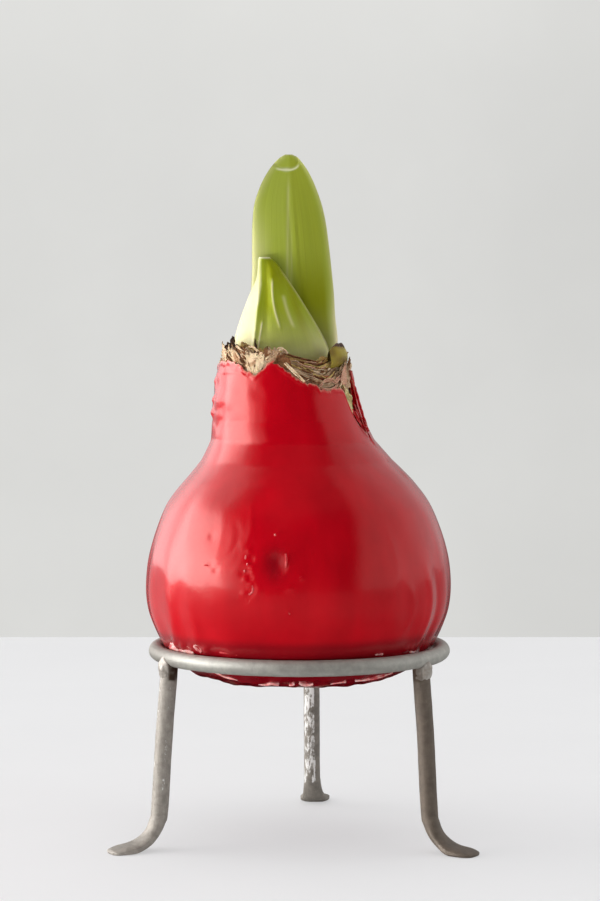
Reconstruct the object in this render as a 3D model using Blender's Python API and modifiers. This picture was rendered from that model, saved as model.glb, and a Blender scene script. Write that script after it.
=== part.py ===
"""A waxed amaryllis bulb in leaf, resting in the ring of a small three-legged steel stand.

Metres, +Z up. The origin is on the surface that the stand stands on, under the middle of the whole object.
"""

import math
import random

import bpy
import bmesh
from mathutils import Vector

MM = 0.001
GAP = 0.3 * MM  # between pieces that touch

# Stand: a ring of round rod on three legs that are hammered flat and bent out into feet
RING_RADIUS = 47.2 * MM  # to the middle of the rod
RING_ROD = 5.3 * MM
RING_HEIGHT = 62.0 * MM
RING_STEPS = 60
ROD_SIDES = 12
LEG_ROD = 5.6 * MM
RING_ASIDE = 0.4 * MM  # the ring is a little off the middle of the legs
LEG_TURNS = {"left": 208.5, "right": 327.0, "back": 84.5}  # degrees round the ring
FOOT_REACH = {"left": 69.1 * MM, "right": 68.2 * MM, "back": 69.4 * MM}  # from the legs' middle to the toe
LEG_SPLAY = {"left": 3.7 * MM, "right": 3.3 * MM, "back": 3.7 * MM}  # lean between the ring and the bend
FOOT_WIDTH = 9.6 * MM
FOOT_THICKNESS = 3.0 * MM
TOE_THICKNESS = 1.3 * MM
BEND_HEIGHT = 13.5 * MM
BEAD_SIZE = (3.1 * MM, 3.2 * MM, 4.7 * MM)  # half sizes of a weld: out, across and up

# Bulb: the outside of the wax, as radius and height, from the middle of its base to the top of its neck
BULB_OUTLINE = [
    (0.0, 52.9), (14.0, 52.7), (24.0, 52.6), (30.5, 53.6), (36.8, 56.4), (42.0, 60.6), (45.2, 65.0),
    (47.9, 70.6), (49.7, 76.0), (50.4, 83.0), (49.7, 92.0), (47.3, 101.0), (43.4, 110.4), (37.6, 118.2),
    (31.4, 125.0), (26.9, 131.6), (24.9, 138.5), (24.0, 145.0), (22.9, 151.0), (21.9, 157.0),
]
OUTLINE_ROWS = 25
BULB_STEPS = 52
BULB_FRONT = 50.6 * MM  # how far the bulb stands out in front of the ring's axis
WAX = 1.5 * MM
NECK_LEAN = -4.4 * MM  # the neck stands left of the bulb's axis
NECK_START = 118.0 * MM
NECK_TOP = 157.0 * MM
DENT = {"turn": 258.0, "height": 91.5 * MM, "depth": 1.3 * MM, "size": 4.2 * MM}
LOBES = ((2, 40.0, 0.30), (3, 155.0, 0.35), (5, 290.0, 0.22), (9, 10.0, 0.10))  # count, turn, depth in mm

# Torn top edge of the wax: degrees round the neck, and height
WAX_EDGE = [
    (0.0, 150.5), (22.0, 152.6), (48.0, 151.0), (75.0, 154.6), (100.0, 152.4), (130.0, 156.2), (155.0, 154.0),
    (180.0, 156.4), (204.0, 157.6), (226.0, 157.2), (245.0, 152.4), (261.0, 157.0), (282.0, 151.8),
    (300.0, 149.4), (318.0, 148.6), (331.0, 147.8), (338.0, 138.0), (345.0, 136.2), (352.0, 147.0),
]

# Papery neck of the bulb, which holds the leaves
POCKET_FLOOR = 150.8 * MM
POCKET_SIZE = (18.3 * MM, 11.0 * MM)  # half of its width and of its depth
PAPER_RADIUS = 19.8 * MM
PAPER_HEIGHT = 157.6 * MM
PAPER_RAGGED = 1.5 * MM
OUTER_TATTERS = 19
INNER_TATTERS = 13
TATTER_THICKNESS = 0.8 * MM

# Leaves: height, left edge and right edge, seen from the front, in millimetres
TALL_BACK = [
    (151.3, -13.9, 11.2), (158.0, -14.9, 13.1), (164.4, -15.5, 13.2), (172.0, -15.7, 12.5), (180.0, -15.5, 12.0),
    (188.0, -15.2, 11.2), (196.0, -15.2, 10.2), (203.7, -14.9, 9.1), (209.5, -14.2, 7.7), (215.5, -12.2, 5.6),
    (219.4, -10.2, 3.6), (222.4, -7.9, 1.6), (224.5, -5.8, -0.3), (225.3, -4.1, -2.0),
]
TALL_FRONT_TOP = 221.0  # the front one of the pair ends in a blunt lip
TALL_DEPTH = 3.1 * MM  # each of the pair at its thickest
LEAVES_BACK = 3.4 * MM  # the pair meets this far behind the bulb's axis
TALL_EDGE = 0.7 * MM
SHORT_LEAF = [  # height, left edge, right edge, middle in depth, bulge to the front
    (151.3, -19.0, 9.6, 0.4, 13.0), (155.0, -20.3, 10.6, 0.2, 13.6), (159.0, -21.1, 10.6, -0.1, 13.6),
    (163.4, -20.7, 9.3, -0.5, 12.8), (168.0, -19.5, 7.0, -1.2, 11.4), (172.3, -18.5, 4.6, -2.0, 10.0),
    (177.0, -16.8, 1.8, -2.8, 8.8), (181.0, -15.3, -0.9, -3.4, 7.6), (185.0, -14.0, -3.6, -3.9, 6.2),
    (188.6, -13.0, -6.3, -4.2, 4.8), (190.8, -12.4, -7.9, -4.4, 3.8), (191.6, -12.0, -8.6, -4.4, 3.2),
]
SHORT_THICKNESS = 1.6 * MM
STUB_TOP = 164.6 * MM
STUB_TURNS = (-34.0, -8.0)
STUB_RADIUS = 17.4 * MM


def stand_middle():
    """Where the ring's axis stands, so that the origin is under the middle of the whole object."""
    turns = {side: math.radians(turn) for side, turn in LEG_TURNS.items()}
    across = [FOOT_REACH[side] * math.cos(turn) for side, turn in turns.items()]
    deep = [FOOT_REACH[side] * math.sin(turn) for side, turn in turns.items()]
    return Vector((-(min(across) + max(across)) / 2, -(max(deep) - BULB_FRONT) / 2, 0))


def collection(name):
    made = bpy.data.collections.new(name)
    bpy.context.scene.collection.children.link(made)
    return made


def clear_scene():
    for obj in list(bpy.data.objects):
        bpy.data.objects.remove(obj)


def material(name, colour, roughness, metallic=0.0):
    made = bpy.data.materials.new(name)
    made.use_nodes = True
    shader = made.node_tree.nodes["Principled BSDF"]
    shader.inputs["Base Color"].default_value = (*colour, 1)
    shader.inputs["Roughness"].default_value = roughness
    shader.inputs["Metallic"].default_value = metallic
    return made


def add_object(name, mesh, group, parent=None, finish=None):
    obj = bpy.data.objects.new(name, mesh)
    group.objects.link(obj)
    obj.parent = parent
    if finish:
        obj.data.materials.append(finish)
    return obj


def shade(obj, angle=40.0):
    obj.data.shade_smooth()
    obj.data.set_sharp_from_angle(angle=math.radians(angle))


def mesh_from(obj):
    """The object's shape with its modifiers, as a mesh of its own."""
    graph = bpy.context.evaluated_depsgraph_get()
    graph.update()
    return bpy.data.meshes.new_from_object(obj.evaluated_get(graph))


def loft(name, rings):
    """A closed solid through rings of points, each ring going round the same way."""
    bm = bmesh.new()
    rows = [[bm.verts.new(point) for point in ring] for ring in rings]
    count = len(rows[0])
    for lower, upper in zip(rows, rows[1:]):
        for i in range(count):
            j = (i + 1) % count
            bm.faces.new((lower[i], lower[j], upper[j], upper[i]))
    bm.faces.new(rows[0])
    bm.faces.new(rows[-1])
    bmesh.ops.recalc_face_normals(bm, faces=bm.faces)
    if bm.calc_volume(signed=True) < 0:
        bmesh.ops.reverse_faces(bm, faces=bm.faces)
    mesh = bpy.data.meshes.new(name)
    bm.to_mesh(mesh)
    bm.free()
    return mesh


def smooth_through(points, rows):
    """Points evenly spaced along a smooth curve through the ones given."""
    knots = [Vector(p) for p in points]
    ends = [knots[0] * 2 - knots[1], *knots, knots[-1] * 2 - knots[-2]]
    fine = []
    for a, b, c, d in zip(ends, ends[1:], ends[2:], ends[3:]):
        for step in range(20):
            t = step / 20
            bend = (2 * a - 5 * b + 4 * c - d) * t * t + (3 * b - a - 3 * c + d) * t * t * t
            fine.append((2 * b + (c - a) * t + bend) / 2)
    fine.append(knots[-1])
    lengths = [0.0]
    for p, q in zip(fine, fine[1:]):
        lengths.append(lengths[-1] + (q - p).length)
    found = []
    i = 0
    for row in range(rows):
        wanted = lengths[-1] * row / (rows - 1)
        while i < len(fine) - 2 and lengths[i + 1] < wanted:
            i += 1
        share = (wanted - lengths[i]) / max(lengths[i + 1] - lengths[i], 1e-12)
        found.append(fine[i].lerp(fine[i + 1], min(share, 1.0)))
    return found


def between(table, key):
    """The row of a table at that key, worked out between its neighbours."""
    for low, high in zip(table, table[1:]):
        if key <= high[0]:
            t = max((key - low[0]) / (high[0] - low[0]), 0.0)
            return [a + (b - a) * t for a, b in zip(low[1:], high[1:])]
    return list(table[-1][1:])


def offset_line(line, depth):
    """A profile moved inwards, square to itself."""
    moved = []
    for i, point in enumerate(line):
        along = line[min(i + 1, len(line) - 1)] - line[max(i - 1, 0)]
        inward = Vector((-along.y, along.x)).normalized()
        shifted = point + inward * depth
        moved.append(Vector((max(shifted.x, 0.0), shifted.y)))
    moved[0].x = 0.0
    return moved


def turned(name, profile, steps):
    """A mesh turned round Z from a profile of radius and height that starts on the axis."""
    bm = bmesh.new()
    points = [bm.verts.new((p.x, 0, p.y)) for p in profile]
    for a, b in zip(points, points[1:]):
        bm.edges.new((a, b))
    mesh = bpy.data.meshes.new(name)
    bm.to_mesh(mesh)
    bm.free()
    obj = bpy.data.objects.new(name, mesh)
    bpy.context.scene.collection.objects.link(obj)
    screw = obj.modifiers.new("Turn", "SCREW")
    screw.steps = screw.render_steps = steps
    screw.use_merge_vertices = True
    screw.merge_threshold = 0.01 * MM
    done = mesh_from(obj)
    bpy.data.objects.remove(obj)
    bm = bmesh.new()
    bm.from_mesh(done)
    bmesh.ops.remove_doubles(bm, verts=bm.verts, dist=0.001 * MM)
    bmesh.ops.recalc_face_normals(bm, faces=bm.faces)
    bm.to_mesh(done)
    bm.free()
    return done


def ease(value, low, high):
    """0 below low, 1 above high and smooth in between."""
    t = min(max((value - low) / (high - low), 0.0), 1.0)
    return t * t * (3 - 2 * t)


def lean(height):
    """How far the neck stands to the side at that height."""
    return NECK_LEAN * ease(height, NECK_START, 150 * MM)


def swelling(turn, height):
    """How far the bulb's side stands out or in from a plain turned shape."""
    body = ease(height, 56 * MM, 70 * MM) * (1 - 0.6 * ease(height, NECK_START, 140 * MM))
    out = sum(depth * MM * math.cos(math.radians(count * (turn - start))) for count, start, depth in LOBES)
    aside = math.radians((turn - DENT["turn"] + 180) % 360 - 180) * BULB_FRONT
    away = math.hypot(aside, height - DENT["height"]) / DENT["size"]
    return out * body - DENT["depth"] * math.exp(-away * away)


def wax_edge(turn):
    table = [*WAX_EDGE, (WAX_EDGE[0][0] + 360, WAX_EDGE[0][1])]
    return between(table, turn % 360)[0] * MM


def place_skin(mesh, outline, edge=None):
    """Gives a turned skin the bulb's lean and lobes, and brings its top row to a torn edge."""
    heights = [p.y for p in outline]
    for vertex in mesh.vertices:
        radius = math.hypot(vertex.co.x, vertex.co.y)
        turn = math.degrees(math.atan2(vertex.co.y, vertex.co.x)) % 360
        height = vertex.co.z
        if edge and height > NECK_START:
            share = (height - NECK_START) / (heights[-1] - NECK_START)
            height = NECK_START + share * (edge(turn) - NECK_START)
            radius = between([(p.y, p.x) for p in outline if p.y >= NECK_START - 8 * MM], height)[0]
        radius += swelling(turn, height) * min(radius / (20 * MM), 1.0)
        angle = math.radians(turn)
        vertex.co = (lean(height) + radius * math.cos(angle), radius * math.sin(angle), height)
    mesh.update()


def make_wax(group, parent, finish):
    outline = smooth_through([(r * MM, h * MM) for r, h in BULB_OUTLINE], OUTLINE_ROWS)
    mesh = turned("wax_coat", outline, BULB_STEPS)
    place_skin(mesh, outline, wax_edge)
    coat = add_object("wax_coat", mesh, group, parent, finish)
    shell = coat.modifiers.new("Thickness", "SOLIDIFY")
    shell.thickness = WAX
    shell.offset = -1
    shade(coat)
    return coat


def paper_edge(turn):
    """How far the papery neck's ragged top stands above or below its usual height."""
    waves = ((1, 145.0, 1.3), (5, 20.0, 0.45), (8, 70.0, 0.35), (13, 200.0, 0.3))
    return PAPER_RAGGED * sum(d * math.cos(math.radians(n * (turn - start))) for n, start, d in waves)


def tatter(name, turn, root, width, height, flare, group, parent):
    """One torn flap of dry skin: a thin tapering strip with its root in the neck, root being how far out."""
    angle = math.radians(turn)
    out = Vector((math.cos(angle), math.sin(angle), 0))
    side = Vector((-math.sin(angle), math.cos(angle), 0))
    rings = []
    for share, spread, shift in ((0.0, 1.0, 0.0), (0.45, 0.95, 0.12), (0.8, 0.62, -0.15), (1.0, 0.2, 0.2)):
        level = PAPER_HEIGHT - 3.4 * MM + share * height
        middle = Vector((NECK_LEAN, 0, level)) + out * (root + flare * share ** 1.6) + side * shift * width
        half = width * spread / 2
        depth = out * TATTER_THICKNESS / 2
        bow = out * 0.12 * width * (1 - share)
        rings.append([
            middle - side * half - depth - bow, middle - depth, middle + side * half - depth - bow,
            middle + side * half + depth - bow, middle + depth, middle - side * half + depth - bow,
        ])
    return add_object(name, loft(name, rings), group, parent)


def make_tatters(group, parent):
    """Torn skin round the neck's rim and, closer in, round the pocket that the leaves grow from."""
    rng = random.Random(11)
    near_stub = (STUB_TURNS[0] + 348, STUB_TURNS[1] + 372)
    for i in range(OUTER_TATTERS + INNER_TATTERS):
        inner = i >= OUTER_TATTERS
        count = INNER_TATTERS if inner else OUTER_TATTERS
        turn = 360 * (i % OUTER_TATTERS + rng.uniform(-0.25, 0.25)) / count
        width = rng.uniform(4.2, 6.8) * MM
        height = rng.uniform(5.0, 9.4) * MM
        flare = rng.uniform(0.4, 2.4) * MM
        root = PAPER_RADIUS - 1.0 * MM
        if inner:
            across, deep = (size + 1.3 * MM for size in POCKET_SIZE)
            angle = math.radians(turn)
            root = across * deep / math.hypot(deep * math.cos(angle), across * math.sin(angle))
            flare = -0.1 * flare
        beside_pocket = inner and abs(math.cos(math.radians(turn))) > 0.72
        if near_stub[0] < turn < near_stub[1] or beside_pocket:
            continue
        tatter(f"tatter_{i}", turn, root, width, height, flare, group, parent)


def make_pocket(group, parent):
    """The space in the neck that the leaves stand in, a helper that is cut from the bulb."""
    bpy.ops.mesh.primitive_cylinder_add(vertices=36, radius=1.0, depth=20 * MM)
    pocket = bpy.context.object
    pocket.name = "leaf_pocket"
    for old in list(pocket.users_collection):
        old.objects.unlink(pocket)
    group.objects.link(pocket)
    pocket.parent = parent
    pocket.location = (NECK_LEAN, 0, POCKET_FLOOR + 10 * MM)
    pocket.scale = (*POCKET_SIZE, 1)
    return pocket


def make_bulb(group, parent, finish):
    """The bulb inside the wax, with a papery neck that is open at the top for the leaves."""
    outline = smooth_through([(r * MM, h * MM) for r, h in BULB_OUTLINE], OUTLINE_ROWS)
    inner = offset_line(outline, WAX + GAP + 0.1 * MM)
    neck = [p for p in inner if p.y < NECK_TOP - 3 * MM]
    top = [
        Vector((PAPER_RADIUS + 0.2 * MM, NECK_TOP - 2 * MM)),
        Vector((PAPER_RADIUS, PAPER_HEIGHT)),
        Vector((PAPER_RADIUS - 1.2 * MM, PAPER_HEIGHT)),
        Vector((PAPER_RADIUS - 2.0 * MM, PAPER_HEIGHT - 1.6 * MM)),
        Vector((PAPER_RADIUS - 3.6 * MM, PAPER_HEIGHT - 1.0 * MM)),
        Vector((0, PAPER_HEIGHT - 1.4 * MM)),
    ]
    profile = neck + top
    mesh = turned("bulb", profile, BULB_STEPS)
    place_skin(mesh, profile)
    for vertex in mesh.vertices:
        out = math.hypot(vertex.co.x - NECK_LEAN, vertex.co.y)
        if vertex.co.z > PAPER_HEIGHT - 2 * MM and out > 1 * MM:
            vertex.co.z += paper_edge(math.degrees(math.atan2(vertex.co.y, vertex.co.x - NECK_LEAN)))
    bulb = add_object("bulb", mesh, group, parent, finish)
    pieces = collection("pieces_to_cut_and_join")
    make_pocket(pieces, parent)
    add_object("stub_socket", stub_mesh("stub_socket", GAP), pieces, parent)
    cut_or_join(bulb, pieces, "DIFFERENCE")
    make_tatters(pieces, parent)
    cut_or_join(bulb, pieces, "UNION")
    bpy.data.collections.remove(pieces)
    shade(bulb)
    return bulb


def cut_or_join(obj, pieces, operation):
    """Applies one Boolean with a collection, and removes what is in the collection."""
    boolean = obj.modifiers.new("Boolean", "BOOLEAN")
    boolean.operand_type = "COLLECTION"
    boolean.collection = pieces
    boolean.operation = operation
    boolean.solver = "EXACT"
    obj.data = mesh_from(obj)
    obj.modifiers.clear()
    for piece in list(pieces.objects):
        bpy.data.objects.remove(piece)


def blade_ring(left, right, height, face, depth, points=7):
    """One cross-section of a leaf of the tall pair: flat where the two meet and full on the outside."""
    middle = (left + right) / 2
    half = (right - left) / 2
    sign = 1 if depth > 0 else -1
    inner = []
    outer = []
    for i in range(points):
        across = math.cos(math.pi * i / (points - 1))
        fullness = math.sqrt(max(1 - across * across, 0.0))
        groove = 0.18 * math.exp(-(across / 0.16) ** 2)
        bulge = sign * TALL_EDGE + (depth - sign * TALL_EDGE) * (fullness - groove)
        inner.append(Vector((middle + half * across, face, height)))
        outer.append(Vector((middle + half * across * 0.98, face + bulge, height)))
    return inner + outer[::-1]


def tall_edges(height):
    return [value * MM for value in between(TALL_BACK, height)]


def make_tall_leaf(name, top, face, depth, group, parent, finish):
    """One of the two tall leaves that stand pressed together."""
    levels = [row[0] for row in TALL_BACK if row[0] < top - 1.0] + [top]
    rings = []
    for level in levels:
        left, right = tall_edges(level)
        taper = 1 - 0.55 * ease(level, top - 26, top + 1)
        rings.append(blade_ring(left, right, level * MM, face, depth * taper))
    leaf = add_object(name, loft(name, rings), group, parent, finish)
    shade(leaf)
    return leaf


def tall_front_face(x, level):
    """Where the front of the tall pair is at that place, or 0 beside it."""
    left, right = tall_edges(level)
    half = (right - left) / 2
    across = (x - (left + right) / 2) / half
    if abs(across) > 1 + 2 * GAP / half:
        return LEAVES_BACK
    fullness = math.sqrt(max(1 - across * across, 0.0))
    taper = 1 - 0.55 * ease(level, TALL_FRONT_TOP - 26, TALL_FRONT_TOP + 1)
    return LEAVES_BACK - 0.2 * MM - TALL_EDGE - (TALL_DEPTH * taper - TALL_EDGE) * fullness


def short_ring(level, points=15):
    """One cross-section of the short leaf, an open curve wrapped round the front of the tall pair."""
    left, right, middle_depth, bulge = (value * MM for value in between(SHORT_LEAF, level))
    half = (right - left) / 2
    middle = (right + left) / 2
    outer = []
    inner = []
    for i in range(points):
        angle = math.pi * (1 + i / (points - 1))
        pleat = 1 + 0.05 * math.cos(7 * angle + 0.6) * ease(level, 152, 166)
        x = middle + half * math.cos(angle)
        y = LEAVES_BACK + middle_depth + bulge * math.sin(angle) * pleat
        outward = Vector((math.cos(angle) * bulge, math.sin(angle) * half, 0)).normalized()
        inside = Vector((x, y, level * MM)) - outward * SHORT_THICKNESS
        inside.y = min(inside.y, tall_front_face(inside.x, level) - 1.3 * GAP)
        outside = Vector((x, min(y, tall_front_face(x, level) - 1.3 * GAP - 0.9 * MM), level * MM))
        outer.append(outside)
        inner.append(inside)
    return outer + inner[::-1]


def make_short_leaf(group, parent, finish):
    leaf = add_object(
        "leaf_short", loft("leaf_short", [short_ring(row[0]) for row in SHORT_LEAF]), group, parent, finish
    )
    shade(leaf)
    return leaf


def stub_mesh(name, grow=0.0):
    """The cut base of an older leaf, at the right of the pair, or its socket where it is grown by a gap."""
    floor = POCKET_FLOOR + GAP
    rings = []
    for share in (0.0, 0.35, 0.7, 0.9, 1.0):
        level = floor + share * (STUB_TOP - floor) + grow * (2 * share - 1)
        outer_radius = STUB_RADIUS + 2.6 * MM * share ** 1.6 + grow
        thick = (2.2 - 0.9 * share ** 3) * MM + 2 * grow
        more = math.degrees(grow / STUB_RADIUS)
        outer = []
        inner = []
        for i in range(7):
            turn = STUB_TURNS[0] - more + (STUB_TURNS[1] - STUB_TURNS[0] + 2 * more) * i / 6
            angle = math.radians(turn)
            out = Vector((math.cos(angle), math.sin(angle), 0))
            drop = 1.1 * MM * share * ((i - 3) / 3) ** 2
            base = Vector((NECK_LEAN, 0, level - drop))
            outer.append(base + out * outer_radius)
            inner.append(base + out * (outer_radius - thick))
        rings.append(outer + inner[::-1])
    return loft(name, rings)


def make_stub(group, parent, finish):
    stub = add_object("leaf_stub", stub_mesh("leaf_stub"), group, parent, finish)
    shade(stub)
    return stub


def make_ring(group, parent, finish):
    bpy.ops.mesh.primitive_torus_add(
        major_radius=RING_RADIUS, minor_radius=RING_ROD / 2, major_segments=RING_STEPS, minor_segments=ROD_SIDES
    )
    ring = bpy.context.object
    ring.name = ring.data.name = "stand_ring"
    for old in list(ring.users_collection):
        old.objects.unlink(ring)
    group.objects.link(ring)
    ring.parent = parent
    ring.location = (RING_ASIDE, 0, RING_HEIGHT)
    ring.data.materials.append(finish)
    shade(ring)
    return ring


def leg_line(side):
    """Middle of a leg from the ring to the toe: distance out, height, width and thickness at each place."""
    reach = FOOT_REACH[side]
    splay = LEG_SPLAY[side]
    bend_out = RING_RADIUS + splay
    return [
        (RING_RADIUS, RING_HEIGHT - 0.4 * MM, LEG_ROD, LEG_ROD),
        (RING_RADIUS + 0.1 * splay, RING_HEIGHT - 6 * MM, LEG_ROD, LEG_ROD),
        (RING_RADIUS + 0.55 * splay, (RING_HEIGHT + BEND_HEIGHT) / 2, LEG_ROD, LEG_ROD),
        (bend_out, BEND_HEIGHT, LEG_ROD, LEG_ROD),
        (bend_out + 0.9 * MM, BEND_HEIGHT - 4.2 * MM, LEG_ROD * 1.04, LEG_ROD * 0.93),
        (bend_out + 2.9 * MM, BEND_HEIGHT - 8.0 * MM, LEG_ROD * 1.18, LEG_ROD * 0.78),
        (bend_out + 5.9 * MM, BEND_HEIGHT - 10.6 * MM, LEG_ROD * 1.42, LEG_ROD * 0.64),
        (reach - 8.6 * MM, FOOT_THICKNESS / 2 - 0.1 * MM, FOOT_WIDTH, FOOT_THICKNESS),
        (reach - 4.4 * MM, FOOT_THICKNESS / 2 - 0.5 * MM, FOOT_WIDTH * 0.99, FOOT_THICKNESS * 0.82),
        (reach - 1.6 * MM, TOE_THICKNESS / 2, FOOT_WIDTH * 0.8, TOE_THICKNESS * 1.35),
        (reach, TOE_THICKNESS / 2, FOOT_WIDTH * 0.42, TOE_THICKNESS),
    ]


def leg_rings(side):
    """Cross-sections of a leg in its own plane, with X out from the ring's axis. The sole is cut flat at 0."""
    rows = leg_line(side)
    rings = []
    for i, (out, height, width, thick) in enumerate(rows):
        before = rows[max(i - 1, 0)]
        after = rows[min(i + 1, len(rows) - 1)]
        along = Vector((after[0] - before[0], 0, after[1] - before[1])).normalized()
        if i == 0:
            along = Vector((0, 0, -1))
        across = Vector((0, 1, 0))
        up = along.cross(across)
        ring = []
        for k in range(ROD_SIDES):
            angle = 2 * math.pi * k / ROD_SIDES
            point = Vector((out, 0, height))
            point += across * (width / 2 * math.cos(angle)) + up * (thick / 2 * math.sin(angle))
            point.z = max(point.z, 0.0)
            ring.append(point)
        rings.append(ring)
    return rings


def make_bead(group, parent):
    """The weld under and outside the ring, a helper that is joined to its leg."""
    bpy.ops.mesh.primitive_uv_sphere_add(segments=14, ring_count=9, radius=1.0)
    bead = bpy.context.object
    bead.name = "weld_bead"
    for old in list(bead.users_collection):
        old.objects.unlink(bead)
    group.objects.link(bead)
    for vertex in bead.data.vertices:
        x, y, z = vertex.co
        rough = 1 + 0.09 * math.sin(5 * x + 3 * y) * math.cos(4 * z - y)
        vertex.co = Vector((x * BEAD_SIZE[0], y * BEAD_SIZE[1], z * BEAD_SIZE[2])) * rough
    bead.parent = parent
    bead.location = (RING_RADIUS + 0.9 * MM, 0, RING_HEIGHT - 3.6 * MM)
    bead.hide_render = True
    bead.display_type = "WIRE"
    return bead


def make_leg(side, group, helpers, parent, finish):
    """A leg with its weld, cut clear of the ring that it carries."""
    turn = math.radians(LEG_TURNS[side])
    leg = add_object(f"stand_leg_{side}", loft(f"stand_leg_{side}", leg_rings(side)), group, parent, finish)
    leg.rotation_euler = (0, 0, turn)
    bead = make_bead(helpers, leg)
    bead.name = f"weld_bead_{side}"
    weld = leg.modifiers.new("Weld", "BOOLEAN")
    weld.operation = "UNION"
    weld.solver = "EXACT"
    weld.object = bead
    seat = leg.modifiers.new("Ring seat", "BOOLEAN")
    seat.operation = "DIFFERENCE"
    seat.solver = "EXACT"
    seat.object = bpy.data.objects["ring_clearance"]
    shade(leg)
    return leg


def make_ring_clearance(group, parent):
    """The ring's rod with a small gap round it, a helper that cuts the legs."""
    bpy.ops.mesh.primitive_torus_add(
        major_radius=RING_RADIUS, minor_radius=RING_ROD / 2 + GAP, major_segments=RING_STEPS,
        minor_segments=ROD_SIDES * 2,
    )
    cutter = bpy.context.object
    cutter.name = "ring_clearance"
    for old in list(cutter.users_collection):
        old.objects.unlink(cutter)
    group.objects.link(cutter)
    cutter.parent = parent
    cutter.location = (RING_ASIDE, 0, RING_HEIGHT)
    cutter.hide_render = True
    cutter.display_type = "WIRE"


def main():
    clear_scene()
    parts = collection("amaryllis_bulb")
    helpers = collection("helpers")
    middle = bpy.data.objects.new("stand_axis", None)
    parts.objects.link(middle)
    middle.location = stand_middle()

    steel = material("burnished_steel", (0.40, 0.39, 0.37), 0.42, 1.0)
    wax = material("red_wax", (0.60, 0.012, 0.02), 0.25)
    paper = material("papery_skin", (0.42, 0.30, 0.19), 0.85)
    leaf = material("leaf_green", (0.28, 0.38, 0.06), 0.4)
    pale = material("leaf_pale", (0.47, 0.47, 0.16), 0.5)

    make_ring(parts, middle, steel)
    make_ring_clearance(helpers, middle)
    for side in LEG_TURNS:
        make_leg(side, parts, helpers, middle, steel)
    make_wax(parts, middle, wax)
    make_bulb(parts, middle, paper)
    make_tall_leaf("leaf_tall_back", TALL_BACK[-1][0], LEAVES_BACK + 0.2 * MM, TALL_DEPTH, parts, middle, leaf)
    make_tall_leaf("leaf_tall_front", TALL_FRONT_TOP, LEAVES_BACK - 0.2 * MM, -TALL_DEPTH, parts, middle, leaf)
    make_short_leaf(parts, middle, leaf)
    make_stub(parts, middle, pale)


main()
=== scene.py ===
"""A waxed amaryllis bulb in leaf, in the ring of a small three-legged steel stand, on a pale studio table."""

import math
import random

import bpy
from bpy.props import FloatProperty, FloatVectorProperty, PointerProperty
from mathutils import Matrix, Vector, noise


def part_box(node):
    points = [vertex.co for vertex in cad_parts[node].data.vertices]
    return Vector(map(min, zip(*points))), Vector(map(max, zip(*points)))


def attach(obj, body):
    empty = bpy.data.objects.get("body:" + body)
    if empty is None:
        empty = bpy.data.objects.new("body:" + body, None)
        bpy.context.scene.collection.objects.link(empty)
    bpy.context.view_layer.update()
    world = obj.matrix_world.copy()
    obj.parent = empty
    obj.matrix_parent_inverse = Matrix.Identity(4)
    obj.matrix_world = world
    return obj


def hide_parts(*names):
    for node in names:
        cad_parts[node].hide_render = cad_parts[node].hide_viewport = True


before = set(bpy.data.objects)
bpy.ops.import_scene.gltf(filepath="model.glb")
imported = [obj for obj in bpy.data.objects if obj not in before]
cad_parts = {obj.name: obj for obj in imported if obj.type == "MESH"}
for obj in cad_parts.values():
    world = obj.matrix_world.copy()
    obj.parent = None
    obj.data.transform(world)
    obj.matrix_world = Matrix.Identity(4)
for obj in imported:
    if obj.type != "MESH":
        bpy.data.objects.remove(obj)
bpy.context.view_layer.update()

bl_info = {
    "name": "Waxed Amaryllis Bulb",
    "version": (1, 0, 0),
    "blender": (4, 5, 0),
    "location": "View3D > Sidebar > Amaryllis",
    "description": "Models a waxed amaryllis bulb with its leaves and its steel stand",
    "category": "Object",
}

MM = 0.001

# Stand, from the frame
RING_LOW, RING_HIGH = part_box("stand_ring")
RING_MIDDLE = (Vector(RING_LOW) + Vector(RING_HIGH)) / 2
RING_ROD = RING_HIGH[2] - RING_LOW[2]
RING_RADIUS = (RING_HIGH[1] - RING_LOW[1] - RING_ROD) / 2
RING_ASIDE = 0.4 * MM
AXIS = Vector((RING_MIDDLE.x - RING_ASIDE, RING_MIDDLE.y, 0))  # middle of the bulb and of the three legs
RING_HEIGHT = RING_MIDDLE.z
LEG_TURNS = {"left": 208.5, "right": 327.0, "back": 84.5}
FOOT_REACH = {"left": 69.1 * MM, "right": 68.2 * MM, "back": 69.4 * MM}
LEG_SPLAY = {"left": 3.7 * MM, "right": 3.3 * MM, "back": 3.7 * MM}
LEG_ROD = 5.6 * MM
FOOT_WIDTH = 9.6 * MM
FOOT_THICKNESS = 3.0 * MM
TOE_THICKNESS = 1.3 * MM
BEND_HEIGHT = 13.5 * MM

# Bulb: radius and height of the outside of the wax, in millimetres
BULB_OUTLINE = [
    (0, 52.9), (14, 52.7), (24, 52.6), (30.5, 53.6), (36.8, 56.4), (42, 60.6), (45.2, 65), (47.9, 70.6),
    (49.7, 76), (50.4, 83), (49.7, 92), (47.3, 101), (43.4, 110.4), (37.6, 118.2), (31.4, 125),
    (26.9, 131.6), (24.9, 138.5), (24, 145), (22.9, 151), (21.9, 157),
]
BULB_WIDEST = 50.6 * MM
NECK_LEAN = -4.4 * MM
NECK_START = 118.0 * MM
DENT = {"turn": 261.5, "height": 95.0 * MM, "depth": 1.5 * MM, "size": 4.2 * MM}
LOBES = ((2, 40.0, 0.30), (3, 155.0, 0.35), (5, 290.0, 0.22), (9, 10.0, 0.10))

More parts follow.
